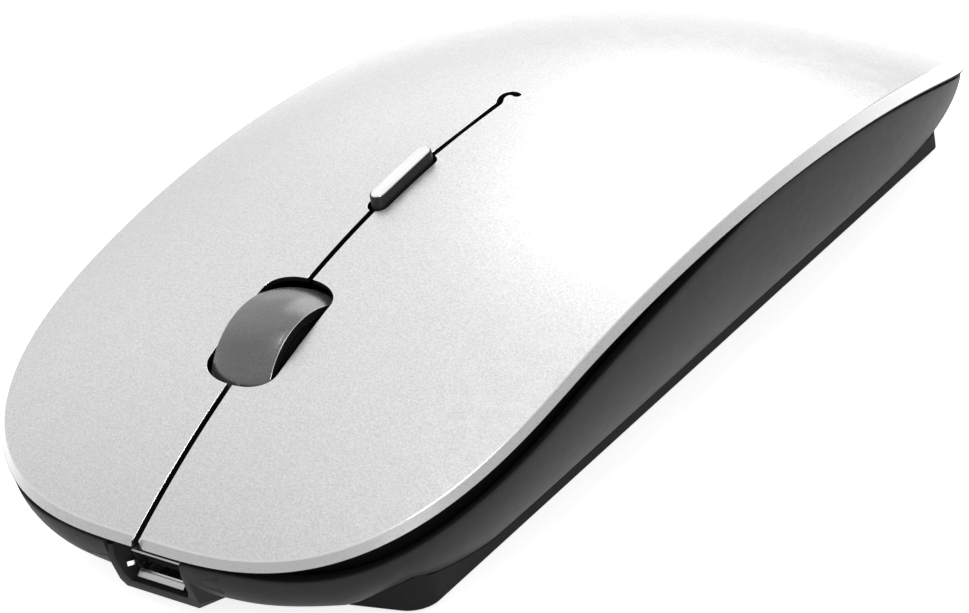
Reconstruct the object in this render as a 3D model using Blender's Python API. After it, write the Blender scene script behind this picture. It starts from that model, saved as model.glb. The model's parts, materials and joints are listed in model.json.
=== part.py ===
"""Slim rechargeable computer mouse, built as separate mouldings, boards, switches and a wheel.

Frame: +Z up, front edge of the keys towards -Y, the user's left hand side towards +X.
The origin is under the middle of the mouse, on the surface that the glide feet stand on.
Sizes below are millimetres; MM turns them into metres when a mesh is made.
"""
import math

import bmesh
import bpy
from mathutils import Vector

MM = 0.001

# Driving dimensions of the outer form.
HALF_LENGTH = 56.5
HALF_WIDTH = 28.55
WIDEST_Y = -27.4
FRONT_POWER = 2.8
REAR_POWER = 2.35
FOOT_LIFT = 0.5
CROWN_HEIGHT = 25.15
CENTRE_LINE = (-0.35, -17.4, -1.93, -1.0, 1.28)
CROSS_DROP = (5.03, 0.71, -1.83)
BAND_MIDDLE = 1.33
BAND_TAPER = 0.47

# The upper shell's keys, slit and openings.
HALF_SLIT = 0.25
HINGE_Y = 1.4
HINGE_Z = 24.9
HALF_FLEX_GAP = 0.18
KEY_SWING = math.radians(0.4)
OPENING_HALF_WIDTH = 4.05
OPENING_FRONT = -42.05
OPENING_REAR = -30.1
DPI_FRONT = -20.6
DPI_REAR = -12.5
DPI_HALF_WIDTH = 1.05
DPI_PROUD = 1.15

# Base: platform, hull and shadow gap under the rim.
PLATE_BOTTOM = 0.5
PLATE_TOP = 1.3
FLOOR_BOTTOM = 1.6
FLOOR_TOP = 2.6
WALL = 1.3
CLEAR = 0.3
BASE_INSET = 0.4
FRAME_INSET = 2.5
FRAME_WALL = 1.4
FRAME_TUCK = 1.1
FRAME_FRONT_X = 20.5
BAR_REAR = 8.6
HULL_CENTRE = (0.0, -3.0)

# Scroll wheel.
WHEEL_Y = -34.2
WHEEL_Z = 13.2
WHEEL_RADIUS = 7.9
WHEEL_EDGE_DROP = 0.75
WHEEL_HALF_WIDTH = 3.5
WHEEL_RELIEF = 0.65
TYRE_INNER = 6.3
HUB_RADIUS = 6.0
AXLE_RADIUS = 1.2
AXLE_LEFT = 8.0
AXLE_RIGHT = -8.3
PRESS_TRAVEL = 0.5

# Boards and what they carry.
PCB_BOTTOM = 5.8
PCB_TOP = 6.6
PCB_FRONT = -48.6
PCB_REAR = 10.0
POST_X = 13.4
POST_YS = (-22.0, 3.6)
DECK_BOTTOM = 16.3
DECK_TOP = 17.3
SWITCH_X = 11.8
SWITCH_Y = -40.0
PLUNGER_Y = -42.6
SENSOR_Y = 3.0
POWER_Y = -12.0
BAY_FRONT = 26.0
BAY_REAR = 44.5
BAY_HALF_WIDTH = 8.0
BAY_TOP = 8.1

SEGMENTS = 60
BIG = 90.0


def clear_scene():
    for item in list(bpy.data.objects):
        bpy.data.objects.remove(item, do_unlink=True)


def material(name, colour, roughness, metallic=0.0):
    made = bpy.data.materials.new(name)
    made.use_nodes = True
    shader = made.node_tree.nodes["Principled BSDF"]
    shader.inputs["Base Color"].default_value = (*colour, 1.0)
    shader.inputs["Roughness"].default_value = roughness
    shader.inputs["Metallic"].default_value = metallic
    made.diffuse_color = (*colour, 1.0)
    return made


def solid(name, points, faces, look=None, origin=(0, 0, 0)):
    """A mesh object from points in mm; its own origin is set at the point given in mm."""
    mesh = bpy.data.meshes.new(name)
    local = [[(value - start) * MM for value, start in zip(point, origin)] for point in points]
    mesh.from_pydata(local, [], faces)
    work = bmesh.new()
    work.from_mesh(mesh)
    bmesh.ops.recalc_face_normals(work, faces=work.faces)
    work.to_mesh(mesh)
    work.free()
    made = bpy.data.objects.new(name, mesh)
    made.location = Vector(origin) * MM
    bpy.context.scene.collection.objects.link(made)
    if look:
        mesh.materials.append(look)
    else:
        made.hide_render = True
        made.display_type = "WIRE"
    return made


def smooth(made, degrees=35):
    made.data.shade_smooth()
    made.data.set_sharp_from_angle(angle=math.radians(degrees))
    return made


def box(name, low, high, look=None, origin=(0, 0, 0)):
    points = [(x, y, z) for x in (low[0], high[0]) for y in (low[1], high[1]) for z in (low[2], high[2])]
    faces = [(0, 1, 3, 2), (4, 6, 7, 5), (0, 4, 5, 1), (2, 3, 7, 6), (0, 2, 6, 4), (1, 5, 7, 3)]
    return solid(name, points, faces, look, origin)


def prism(name, outline, bottom, top, look=None, origin=(0, 0, 0)):
    """An outline of (x, y) points in order, raised from bottom to top."""
    count = len(outline)
    points = [(x, y, bottom) for x, y in outline] + [(x, y, top) for x, y in outline]
    faces = [tuple(range(count)), tuple(range(count, 2 * count))]
    faces += [(i, (i + 1) % count, count + (i + 1) % count, count + i) for i in range(count)]
    return solid(name, points, faces, look, origin)


def turned(name, profile, centre, axis, look=None, steps=24, origin=(0, 0, 0)):
    """A closed profile of (radius, distance along the axis) turned round X or Z through the centre."""
    points = []
    for step in range(steps):
        angle = 2 * math.pi * step / steps
        for radius, along in profile:
            a, b = radius * math.cos(angle), radius * math.sin(angle)
            offset = (along, a, b) if axis == "X" else (a, b, along)
            points.append([c + o for c, o in zip(centre, offset)])
    count = len(profile)
    faces = []
    for step in range(steps):
        after = (step + 1) % steps
        for i in range(count):
            j = (i + 1) % count
            faces.append((step * count + i, step * count + j, after * count + j, after * count + i))
    made = solid(name, points, faces, look, origin)
    weld(made)
    return smooth(made)


def weld(made):
    """Joins the points that a turned profile puts on its own axis, and drops what that flattens."""
    work = bmesh.new()
    work.from_mesh(made.data)
    bmesh.ops.remove_doubles(work, verts=work.verts, dist=1e-7)
    bmesh.ops.recalc_face_normals(work, faces=work.faces)
    work.to_mesh(made.data)
    work.free()


def rod(name, radius, low, high, centre, axis="Z", look=None, steps=16, origin=(0, 0, 0)):
    return turned(name, [(0, low), (radius, low), (radius, high), (0, high)], centre, axis, look, steps, origin)


def boolean(made, cutter, operation="DIFFERENCE"):
    step = made.modifiers.new(operation.title(), "BOOLEAN")
    step.operation = operation
    step.solver = "EXACT"
    step.object = cutter
    cutter.hide_render = True
    cutter.display_type = "WIRE"
    return made


def bevelled(made, width, segments=2, degrees=50):
    step = made.modifiers.new("Bevel", "BEVEL")
    step.width = width * MM
    step.segments = segments
    step.limit_method = "ANGLE"
    step.angle_limit = math.radians(degrees)
    return smooth(made)


def rounded_rectangle(x0, y0, x1, y1, radius, steps=3):
    outline = []
    corners = ((x1, y1, 0), (x0, y1, 90), (x0, y0, 180), (x1, y0, 270))
    for x, y, start in corners:
        cx = x - math.copysign(radius, x - (x0 + x1) / 2)
        cy = y - math.copysign(radius, y - (y0 + y1) / 2)
        for step in range(steps + 1):
            angle = math.radians(start + 90 * step / steps)
            outline.append((cx + radius * math.cos(angle), cy + radius * math.sin(angle)))
    return outline


# The outer form: an egg-shaped outline and a crowned top.

def centre_height(y):
    u = y / HALF_LENGTH
    return CROWN_HEIGHT + FOOT_LIFT + sum(value * u ** (i + 1) for i, value in enumerate(CENTRE_LINE))


def top_height(x, y):
    u = y / HALF_LENGTH
    drop = CROSS_DROP[0] + CROSS_DROP[1] * u + CROSS_DROP[2] * u * u
    return centre_height(y) - drop * (x / HALF_WIDTH) ** 2


def band_height(y):
    return BAND_MIDDLE + BAND_TAPER * y / HALF_LENGTH


def under_height(x, y):
    return top_height(x, y) - band_height(y)


def egg_level(x, y):
    """Below 1 inside the outline, above 1 outside."""
    front = y < WIDEST_Y
    reach = HALF_LENGTH + WIDEST_Y if front else HALF_LENGTH - WIDEST_Y
    power = FRONT_POWER if front else REAR_POWER
    return abs(x / HALF_WIDTH) ** power + abs((y - WIDEST_Y) / reach) ** power


def egg_point(angle, inset=0.0):
    """The outline's point in a direction from the hull's centre, moved inwards by the inset."""
    near, far = 0.0, 80.0
    dx, dy = math.cos(angle), math.sin(angle)
    for _ in range(40):
        middle = (near + far) / 2
        if egg_level(HULL_CENTRE[0] + middle * dx, HULL_CENTRE[1] + middle * dy) < 1:
            near = middle
        else:
            far = middle
    radius = near - inset
    return HULL_CENTRE[0] + radius * dx, HULL_CENTRE[1] + radius * dy


def angles():
    return [2 * math.pi * (i + 0.5) / SEGMENTS - math.pi / 2 - math.pi / SEGMENTS for i in range(SEGMENTS)]


def crowned_slab(name, look, origin=(0, 0, 0)):
    """The whole upper shell as one slab: rings of points from the middle out to the rim."""
    shares = (0.25, 0.5, 0.72, 0.88, 0.97, 1.0)
    flat = [HULL_CENTRE]
    for share in shares:
        for angle in angles():
            x, y = egg_point(angle)
            flat.append((HULL_CENTRE[0] + share * (x - HULL_CENTRE[0]), HULL_CENTRE[1] + share * (y - HULL_CENTRE[1])))
    count = len(flat)
    points = [(x, y, top_height(x, y)) for x, y in flat] + [(x, y, under_height(x, y)) for x, y in flat]
    faces = []
    for i in range(SEGMENTS):
        j = (i + 1) % SEGMENTS
        faces += [(0, 1 + i, 1 + j), (count, count + 1 + j, count + 1 + i)]
        for ring in range(len(shares) - 1):
            a, b = 1 + ring * SEGMENTS, 1 + (ring + 1) * SEGMENTS
            faces += [(a + i, b + i, b + j, a + j), (count + a + j, count + b + j, count + b + i, count + a + i)]
        rim = 1 + (len(shares) - 1) * SEGMENTS
        faces.append((rim + i, count + rim + i, count + rim + j, rim + j))
    return smooth(solid(name, points, faces, look, origin))


def wheel_opening():
    """The opening over the wheel: straight sides and rounded ends."""
    outline = []
    for y, sign in ((OPENING_REAR, 1), (OPENING_FRONT, -1)):
        for step in range(7):
            angle = math.pi * step / 6 if sign > 0 else math.pi * (1 + step / 6)
            x = OPENING_HALF_WIDTH * math.copysign(abs(math.cos(angle)) ** 0.8, math.cos(angle))
            outline.append((x, y - sign * 1.9 + 1.9 * abs(math.sin(angle)) ** 0.8 * sign))
    return outline


def upper_shell(looks):
    """Palm cover and the two keys, cut from the same crowned slab."""
    shell = looks["shell"]
    palm = crowned_slab("palm_cover", shell)
    boolean(palm, box("cut_palm_front", (-BIG, -BIG, -BIG), (BIG, HINGE_Y + HALF_FLEX_GAP, BIG)))
    behind = box("cut_key_rear", (-BIG, HINGE_Y - HALF_FLEX_GAP, -BIG), (BIG, BIG, BIG))
    opening = prism("cut_wheel_opening", wheel_opening(), 5, 40)
    slot = rounded_rectangle(-DPI_HALF_WIDTH - 0.35, DPI_FRONT - 0.35, DPI_HALF_WIDTH + 0.35, DPI_REAR + 0.35, 1.3)
    dpi_slot = prism("cut_dpi_slot", slot, 15, 40)
    well = (0, WHEEL_Y, WHEEL_Z)
    relief = rod("cut_wheel_relief", WHEEL_RADIUS + WHEEL_RELIEF, -4.4, 4.4, well, "X", steps=40)
    for side, name in ((1, "left_key"), (-1, "right_key")):
        key = crowned_slab(name, shell, origin=(0, HINGE_Y, HINGE_Z))
        boolean(key, behind)
        edges = sorted((-side * BIG, side * HALF_SLIT))
        boolean(key, box("cut_" + name, (edges[0], -BIG, -BIG), (edges[1], BIG, BIG)))
        boolean(key, opening)
        boolean(key, relief)
        boolean(key, dpi_slot)
        x = side * SWITCH_X
        foot = (x - 1.2, PLUNGER_Y - 0.9, 12.3)
        head = (x + 1.2, PLUNGER_Y + 0.9, under_height(x, PLUNGER_Y) + 0.4)
        boolean(key, box("add_post_" + name, foot, head), "UNION")


# The base.

def platform_outline():
    """Half of the platform's outline from its front middle to its rear middle, on the +X side."""
    corner = [(20.1 + 1.9 * math.sin(a), -43.4 - 1.8 * math.cos(a)) for a in (0.5, 0.9, 1.3)]
    return [(0, -48.9), (8.0, -48.5), (15.2, -47.1), (19.0, -45.7)] + corner + [
        (22.0, -42.5), (12.2, 44.5), (11.5, 46.2), (9.6, 46.9), (0, 47.2)]


def platform_point(angle, inset=0.0):
    """Where a ray from the hull's centre leaves the platform's outline."""
    half = platform_outline()
    ring = half + [(-x, y) for x, y in reversed(half[1:-1])]
    dx, dy = math.cos(angle), math.sin(angle)
    best = 0.0
    for (ax, ay), (bx, by) in zip(ring, ring[1:] + ring[:1]):
        ax, ay, bx, by = ax, ay - HULL_CENTRE[1], bx, by - HULL_CENTRE[1]
        cross = dx * (by - ay) - dy * (bx - ax)
        if abs(cross) > 1e-9:
            reach = (ax * (by - ay) - ay * (bx - ax)) / cross
            share = (ax * dy - ay * dx) / cross
            if reach > 0 and -1e-9 <= share <= 1 + 1e-9:
                best = max(best, reach)
    radius = best - inset
    return HULL_CENTRE[0] + radius * dx, HULL_CENTRE[1] + radius * dy


def ease(share):
    """A smooth step from 0 to 1."""
    share = min(1.0, max(0.0, share))
    return share * share * (3 - 2 * share)


def shadow_gap(x, y):
    """Height of the dark recess between the rim and the base: closed at the rear, small over the chin."""
    if y > 1:
        return CLEAR
    rise = math.sin(min(1.0, (1 - y) / 30.0) * math.pi / 2)
    beside_chin = ease((abs(x) - 3.5) / 16.0) if y < -30 else 1.0
    return CLEAR + rise * (0.2 + 1.35 * beside_chin)


def platform_height(x, y):
    """Where the hull meets the platform's side: highest at the front corners, slightly raised at the rear."""
    side = 1.85 + 2.45 * max(0.0, (-33.0 - y) / 12.3) ** 1.6
    across = 4.3 - 0.48 * max(0.0, 21.8 - abs(x)) if y < -44 else side
    rear = 0.9 * max(0.0, (y - 36.0) / 11.0) ** 2
    return max(1.85, min(side, across)) + rear


def hull_ring(share, inset, lift):
    """One level of the hull, from 0 at its top edge to 1 where it meets the platform."""
    ring = []
    for angle in angles():
        ox, oy = egg_point(angle, BASE_INSET + inset)
        px, py = platform_point(angle, inset)
        high = under_height(*egg_point(angle)) - shadow_gap(ox, oy)
        low = platform_height(px, py)
        front = ease((-44.0 - oy) / 8.0)
        out, down = 0.82 + 0.04 * front, 0.55 + 0.15 * front
        belly_x, belly_y = ox * out + px * (1 - out), oy * out + py * (1 - out)
        belly_z = low * down + high * (1 - down)
        a, b, c = (1 - share) ** 2, 2 * share * (1 - share), share ** 2
        z = a * high + b * belly_z + c * low + lift * share
        ring.append((a * ox + b * belly_x + c * px, a * oy + b * belly_y + c * py, z))
    return ring


def front_notch(half_width, y_low, y_high, step_z):
    """A cutter that clears the chin, and behind it the edge of the board, which reaches further back."""
    profile = [(-BIG, -BIG), (y_low, -BIG), (y_low, step_z), (y_high, step_z), (y_high, BIG), (-BIG, BIG)]
    points = [(x, y, z) for x in (-half_width, half_width) for y, z in profile]
    faces = [tuple(range(6)), tuple(range(6, 12))] + [(i, (i + 1) % 6, 6 + (i + 1) % 6, 6 + i) for i in range(6)]
    return solid("cut_front_notch", points, faces)


def base_shell(looks):
    shares = (0.0, 0.15, 0.35, 0.6, 0.82, 1.0)
    rings = [hull_ring(share, 0.0, 0.0) for share in shares]
    rings.append([(x, y, FLOOR_BOTTOM) for x, y, _ in rings[-1]])
    inner = [hull_ring(share, WALL, 1.0) for share in shares]
    inner.append([(x, y, FLOOR_TOP) for x, y, _ in inner[-1]])
    rings = list(reversed(inner)) + rings
    points = [point for ring in rings for point in ring]
    count = SEGMENTS
    faces = [tuple(range(count)), tuple(range(len(points) - count, len(points)))]
    for level in range(len(rings) - 1):
        for i in range(count):
            j = (i + 1) % count
            a, b = level * count, (level + 1) * count
            faces.append((a + i, b + i, b + j, a + j))
    made = smooth(solid("base_shell", points, faces, looks["base"]))
    boolean(made, front_notch(5.5, -48.6, -46.0, PCB_BOTTOM - 0.5))
    boolean(made, box("cut_lens_window", (-3.6, SENSOR_Y - 3.6, 0), (3.6, SENSOR_Y + 3.6, 4)))
    boolean(made, box("cut_power_window", (-3.9, POWER_Y - 1.6, 0), (3.9, POWER_Y + 1.6, 4)))
    for x in (-POST_X, POST_X):
        for y in POST_YS:
            boolean(made, rod(f"cut_screw_{x:.0f}_{y:.0f}", AXLE_RADIUS, 0, 4, (x, y, 0), steps=12))
    low = (-BAY_HALF_WIDTH - 0.9, BAY_FRONT - 0.9, FLOOR_TOP - 0.5)
    boolean(made, box("add_bay", low, (BAY_HALF_WIDTH + 0.9, BAY_REAR + 0.6, BAY_TOP + 0.9)), "UNION")
    boolean(made, box("cut_bay", (-BAY_HALF_WIDTH, BAY_FRONT, 0), (BAY_HALF_WIDTH, BAY_REAR, BAY_TOP)))
    for y in (11.6, 18.8):
        boolean(made, box(f"add_battery_rib_{y:.0f}", (-7.5, y, FLOOR_TOP - 0.5), (7.5, y + 1.2, BAY_TOP + 0.9)), "UNION")
    return made


def mid_frame(looks):
    """The dark inner ring behind the shadow gap; it stays clear of the keys at the end of their travel."""
    outer, inner = [], []
    for angle in angles():
        outer.append(egg_point(angle, FRAME_INSET))
        inner.append(egg_point(angle, FRAME_INSET + FRAME_WALL))
    points = []
    for ring in (outer, inner):
        for x, y in ring:
            travel = max(0.0, HINGE_Y - y) * math.tan(KEY_SWING)
            points.append((x, y, under_height(x, y) - CLEAR - travel))
        for (x, y), angle in zip(ring, angles()):
            rim = under_height(*egg_point(angle))
            points.append((x, y, rim - shadow_gap(x, y) - FRAME_TUCK))
    count = SEGMENTS
    faces = []
    for i in range(count):
        j = (i + 1) % count
        faces.append((i, j, count + j, count + i))
        faces.append((2 * count + j, 2 * count + i, 3 * count + i, 3 * count + j))
        faces.append((i, 2 * count + i, 2 * count + j, j))
        faces.append((count + i, count + j, 3 * count + j, 3 * count + i))
    made = smooth(solid("mid_frame", points, faces, looks["black"]))
    boolean(made, box("cut_frame_front", (-FRAME_FRONT_X, -BIG, -BIG), (FRAME_FRONT_X, -40, BIG)))
    boolean(made, box("cut_frame_rear", (-BIG, BAR_REAR, -BIG), (BIG, BIG, BIG)))
    end = HALF_WIDTH - FRAME_INSET - FRAME_WALL
    bar = box("add_frame_bar", (-end, BAR_REAR - 1.8, DECK_TOP + 0.8), (end, BAR_REAR - CLEAR, DECK_TOP + 1.9))
    return boolean(made, bar, "UNION")


def bottom_plate(looks):
    half = platform_outline()
    ring = half + [(-x, y) for x, y in reversed(half[1:-1])]
    made = prism("bottom_plate", ring, PLATE_BOTTOM, PLATE_TOP, looks["plate"])
    boolean(made, box("cut_plate_lens", (-3.9, SENSOR_Y - 3.9, -1), (3.9, SENSOR_Y + 3.9, 2)))
    boolean(made, box("cut_plate_power", (-3.9, POWER_Y - 1.6, -1), (3.9, POWER_Y + 1.6, 2)))
    boolean(made, box("cut_plate_bay", (-BAY_HALF_WIDTH, BAY_FRONT, -1), (BAY_HALF_WIDTH, BAY_REAR, 2)))
    for x in (-POST_X, POST_X):
        for y in POST_YS:
            boolean(made, rod(f"cut_head_{x:.0f}_{y:.0f}", 2.2, -1, 2, (x, y, 0), steps=14))
    for name, outline in foot_outlines(CLEAR).items():
        boolean(made, prism("cut_" + name, outline, -1, 0.95))
    return made


def foot_outlines(grow):
    """The glide feet as seen from below: one across the front, two by the bay at the rear."""
    feet = {"front_foot": rounded_rectangle(-15 - grow, -43 - grow, 15 + grow, -38.4 + grow, 2.2 + grow)}
    for side, name in ((1, "rear_left_foot"), (-1, "rear_right_foot")):
        low, high = sorted((side * (9.2 - grow), side * (12.4 + grow)))
        feet[name] = rounded_rectangle(low, 27 - grow, high, 38.5 + grow, 1.4 + grow)
    return feet


def glide_feet(looks):
    for name, outline in foot_outlines(0.0).items():
        prism(name, outline, 0.0, 0.65, looks["foot"])


def port_hood(looks):
    """The chin that carries the charging socket; its mouth leans back towards the bottom."""
    outline = [(-4.6, 6.2), (-4.8, 2.3), (-4.35, 1.55), (4.35, 1.55), (4.8, 2.3), (4.6, 6.2)]
    lean = math.tan(math.radians(15.4))
    points = [(x, -55.9 + (6.2 - z) * lean, z) for x, z in outline] + [(x, -49.0, z) for x, z in outline]
    faces = [tuple(range(6)), tuple(range(6, 12))] + [(i, (i + 1) % 6, 6 + (i + 1) % 6, 6 + i) for i in range(6)]
    made = solid("port_hood", points, faces, looks["base"])
    return boolean(made, box("cut_hood_channel", (-4.1, -60, 2.6), (4.1, -40, 5.8)))


# Wheel, its carriage and the middle button.

def wheel(looks):
    centre = (0, WHEEL_Y, WHEEL_Z)
    crown = []
    for step in range(9):
        x = WHEEL_HALF_WIDTH * (step / 4 - 1)
        crown.append((WHEEL_RADIUS - WHEEL_EDGE_DROP * abs(x / WHEEL_HALF_WIDTH) ** 2.2, x))
    profile = [(TYRE_INNER, -WHEEL_HALF_WIDTH)] + crown + [(TYRE_INNER, WHEEL_HALF_WIDTH)]
    turned("scroll_tyre", profile, centre, "X", looks["tyre"], 36, centre)
    hub = [(0, AXLE_RIGHT), (AXLE_RADIUS, AXLE_RIGHT), (AXLE_RADIUS, -3.2), (HUB_RADIUS, -3.2)]
    hub += [(HUB_RADIUS, 3.2), (AXLE_RADIUS, 3.2), (AXLE_RADIUS, AXLE_LEFT), (0, AXLE_LEFT)]
    turned("wheel_hub", hub, centre, "X", looks["hub"], 24, centre)


def wheel_cradle(looks):
    """Two cheeks with the axle's holes, joined by a bridge under the wheel."""
    centre = (0, WHEEL_Y, WHEEL_Z)
    low, high = (-5.5, WHEEL_Y - 3.2, 3.5), (5.5, WHEEL_Y + 3.2, 15.4)
    made = box("wheel_cradle", low, high, looks["hub"], centre)
    boolean(made, box("cut_cradle_well", (-4.2, WHEEL_Y - 9, 4.5), (4.2, WHEEL_Y + 9, 30)))
    return boolean(made, rod("cut_cradle_axle", AXLE_RADIUS + 0.15, -9, 9, centre, "X"))


def encoder(looks):
    """The scroll encoder: its mouth is open upwards, so the axle can drop when the wheel is pressed."""
    made = box("wheel_encoder", (-8.6, WHEEL_Y - 4.7, 6.9), (-6.1, WHEEL_Y + 4.7, 15.0), looks["part_green"])
    slot = (-10, WHEEL_Y - AXLE_RADIUS - 0.35, WHEEL_Z - AXLE_RADIUS - PRESS_TRAVEL - 0.3)
    return boolean(made, box("cut_encoder_slot", slot, (-5, WHEEL_Y + AXLE_RADIUS + 0.35, 20)))


def pressed_switch(name, body, stem, look, stem_look):
    """A switch body with a well, and the stem that sinks into it."""
    (bx0, by0, bz0), (bx1, by1, bz1) = body
    (sx0, sy0, sz0), (sx1, sy1, sz1) = stem
    case = box(name + "_switch", (bx0, by0, bz0), (bx1, by1, bz1), look)
    well = (sx0 - CLEAR, sy0 - CLEAR, sz0 - 0.9)
    boolean(case, box(f"cut_{name}_well", well, (sx1 + CLEAR, sy1 + CLEAR, bz1 + 3)))
    middle = ((sx0 + sx1) / 2, (sy0 + sy1) / 2, sz0)
    box(name + "_plunger", (sx0, sy0, sz0), (sx1, sy1, sz1), stem_look, middle)


def switches(looks):
    for side, name in ((1, "left"), (-1, "right")):
        x = side * SWITCH_X
        body = ((x - 2.9, SWITCH_Y - 5.0, 6.9), (x + 2.9, SWITCH_Y + 5.0, 11.3))
        stem = ((x - 0.6, PLUNGER_Y - 1.2, 10.5), (x + 0.6, PLUNGER_Y + 1.2, 12.0))
        pressed_switch(name, body, stem, looks["black"], looks["white_plastic"])
    top = WHEEL_Z - AXLE_RADIUS - CLEAR
    body = ((6.1, WHEEL_Y - 2.4, 6.9), (8.5, WHEEL_Y + 2.4, 10.6))
    stem = ((6.8, WHEEL_Y - 0.8, 9.6), (7.8, WHEEL_Y + 0.8, top))
    pressed_switch("middle", body, stem, looks["black"], looks["white_plastic"])
    y = (DPI_FRONT + DPI_REAR) / 2
    body = ((-2.2, y - 2.2, 18.7), (2.2, y + 2.2, 20.0))
    stem = ((-0.8, y - 0.8, 19.7), (0.8, y + 0.8, 20.4))
    pressed_switch("dpi", body, stem, looks["black"], looks["white_plastic"])


def dpi_button(looks):
    """The long resolution button: a capsule that follows the shell's slope, on a flange and a stem."""
    middle = (DPI_FRONT + DPI_REAR) / 2
    outline = rounded_rectangle(-DPI_HALF_WIDTH, DPI_FRONT, DPI_HALF_WIDTH, DPI_REAR, 1.0, 4)
    levels = [(1.0, 0.0), (1.0, 0.85), (0.78, 1.0)]
    points = []
    for scale, share in levels:
        for x, y in outline:
            tx, ty = x * scale, middle + (y - middle) * (1 - (1 - scale) * 0.25)
            top = centre_height(ty) + DPI_PROUD
            points.append((tx, ty, 20.7 + share * (top - 20.7)))
    count = len(outline)
    faces = [tuple(range(count)), tuple(range(2 * count, 3 * count))]
    for level in range(2):
        for i in range(count):
            j = (i + 1) % count
            a, b = level * count, (level + 1) * count
            faces.append((a + i, a + j, b + j, b + i))
    made = solid("dpi_button", points, faces, looks["chrome"], (0, middle, 20.7))
    boolean(made, box("add_dpi_flange", (-2.4, DPI_FRONT + 0.6, 20.7), (2.4, DPI_REAR - 0.6, 21.4)), "UNION")
    return made


# Boards and electronics.

def main_board(looks):
    outline = [(-4.6, PCB_FRONT), (4.6, PCB_FRONT), (4.6, -46.4), (15.5, -46.4), (15.5, -28), (11.2, -25.5),
               (11.2, PCB_REAR), (-11.2, PCB_REAR), (-11.2, -25.5), (-15.5, -28), (-15.5, -46.4), (-4.6, -46.4)]
    made = prism("main_board", outline, PCB_BOTTOM, PCB_TOP, looks["board"])
    boolean(made, box("cut_board_wheel", (-5.85, -43.5, 0), (5.85, -25.2, 10)))
    boolean(made, box("cut_board_sensor", (-3.2, SENSOR_Y - 3.2, 0), (3.2, SENSOR_Y + 3.2, 10)))
    return made


def inner_deck(looks):
    """The deck that carries the resolution button's board; the case screws bite into its posts."""
    outline = [(-15.8, -24.2), (15.8, -24.2), (15.8, -17), (8, -12), (8, -3), (15.8, 0.5), (15.8, 6.2),
               (-15.8, 6.2), (-15.8, 0.5), (-8, -3), (-8, -12), (-15.8, -17)]
    made = prism("inner_deck", outline, DECK_BOTTOM, DECK_TOP, looks["black"])
    for x in (-POST_X, POST_X):
        for y in POST_YS:
            tag = f"{x:.0f}_{y:.0f}"
            boolean(made, rod("add_post_" + tag, 2.0, FLOOR_TOP + CLEAR, DECK_TOP - 0.4, (x, y, 0)), "UNION")
            boolean(made, rod("cut_bore_" + tag, 1.15, 0, 9.5, (x, y, 0), steps=12))
    return made


def boards(looks):
    main_board(looks)
    inner_deck(looks)
    middle = (DPI_FRONT + DPI_REAR) / 2
    box("dpi_board", (-6, middle - 5, 17.6), (6, middle + 4, 18.4), looks["board"])


def electronics(looks):
    top = PCB_TOP + CLEAR
    chips = {
        "controller_chip": ((-8.5, -20, top), (-3.5, -15, top + 0.9), "chip"),
        "radio_shield": ((1.5, -22.5, top), (10.2, -13.5, top + 1.4), "can"),
        "charge_chip": ((-3.4, -48.4, top), (-0.8, -46.2, top + 0.8), "chip"),
        "optical_sensor": ((-4.8, SENSOR_Y - 4.4, top), (4.8, SENSOR_Y + 4.4, top + 1.6), "chip"),
        "battery_plug": ((-10.4, 2.6, top), (-5.6, 7.6, top + 3.4), "white_plastic"),
        "power_switch": ((-4.4, POWER_Y - 1.8, 3.35), (4.4, POWER_Y + 1.8, 5.5), "can"),
    }
    for name, (low, high, look) in chips.items():
        box(name, low, high, looks[look])
    lens = box("sensor_lens", (-4.6, SENSOR_Y - 4.2, 2.95), (4.6, SENSOR_Y + 4.2, 5.5), looks["lens"])
    boolean(lens, rod("add_lens_barrel", 2.4, 1.2, 3.2, (0, SENSOR_Y, 0)), "UNION")
    rod("sensor_led", 1.5, 0, 4.2, (7.2, SENSOR_Y + 3.5, top), "Z", looks["led"], 14)
    cell = box("battery", (-10, 9.2, 9.35), (10, 37, 13.6), looks["cell"])
    bevelled(cell, 0.9)
    leads(looks)


def leads(looks):
    """Two short leads from the battery's front edge to its plug on the main board."""
    for side, name, look in ((-1, "battery_lead_minus", "lead_black"), (1, "battery_lead_plus", "lead_red")):
        x = -8.0 + side * 1.0
        start, end = Vector((x, 8.85, 11.5)), Vector((x, 5.1, 10.7))
        lift, drop = Vector((x, 6.4, 11.5)), Vector((x, 5.1, 11.7))
        curve = bpy.data.curves.new(name, "CURVE")
        curve.dimensions = "3D"
        curve.bevel_depth = 0.4 * MM
        curve.bevel_resolution = 2
        curve.use_fill_caps = True
        spline = curve.splines.new("POLY")
        steps = 8
        spline.points.add(steps)
        for step in range(steps + 1):
            t = step / steps
            near, far = start.lerp(lift, t), drop.lerp(end, t)
            middle = lift.lerp(drop, t)
            point = near.lerp(middle, t).lerp(middle.lerp(far, t), t)
            spline.points[step].co = (*(point * MM), 1)
        curve.materials.append(looks[look])
        bpy.context.scene.collection.objects.link(bpy.data.objects.new(name, curve))


def charging_socket(looks):
    socket = box("usb_socket", (-3.75, -54.2, 2.9), (3.75, -48.9, 5.5), looks["can"])
    boolean(socket, box("cut_usb_socket", (-3.4, -60, 3.2), (3.4, -49.3, 5.2)))
    box("usb_tongue", (-2.3, -53.6, 4.0), (2.3, -49.65, 4.6), looks["black"])


def power_slider(looks):
    """The on and off slider: a knob in a slot through the plate and the floor, at its off end."""
    middle = (-1.5, POWER_Y, 2.0)
    knob = box("power_slider", (-3.1, POWER_Y - 1.2, 0.75), (0.1, POWER_Y + 1.2, 3.05), looks["white_plastic"], middle)
    for step in (-0.9, 0.0, 0.9):
        x = middle[0] + step
        boolean(knob, box(f"cut_ridge_{step:.1f}", (x - 0.2, POWER_Y - 2, 0), (x + 0.2, POWER_Y + 2, 1.0)))
    return knob


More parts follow.
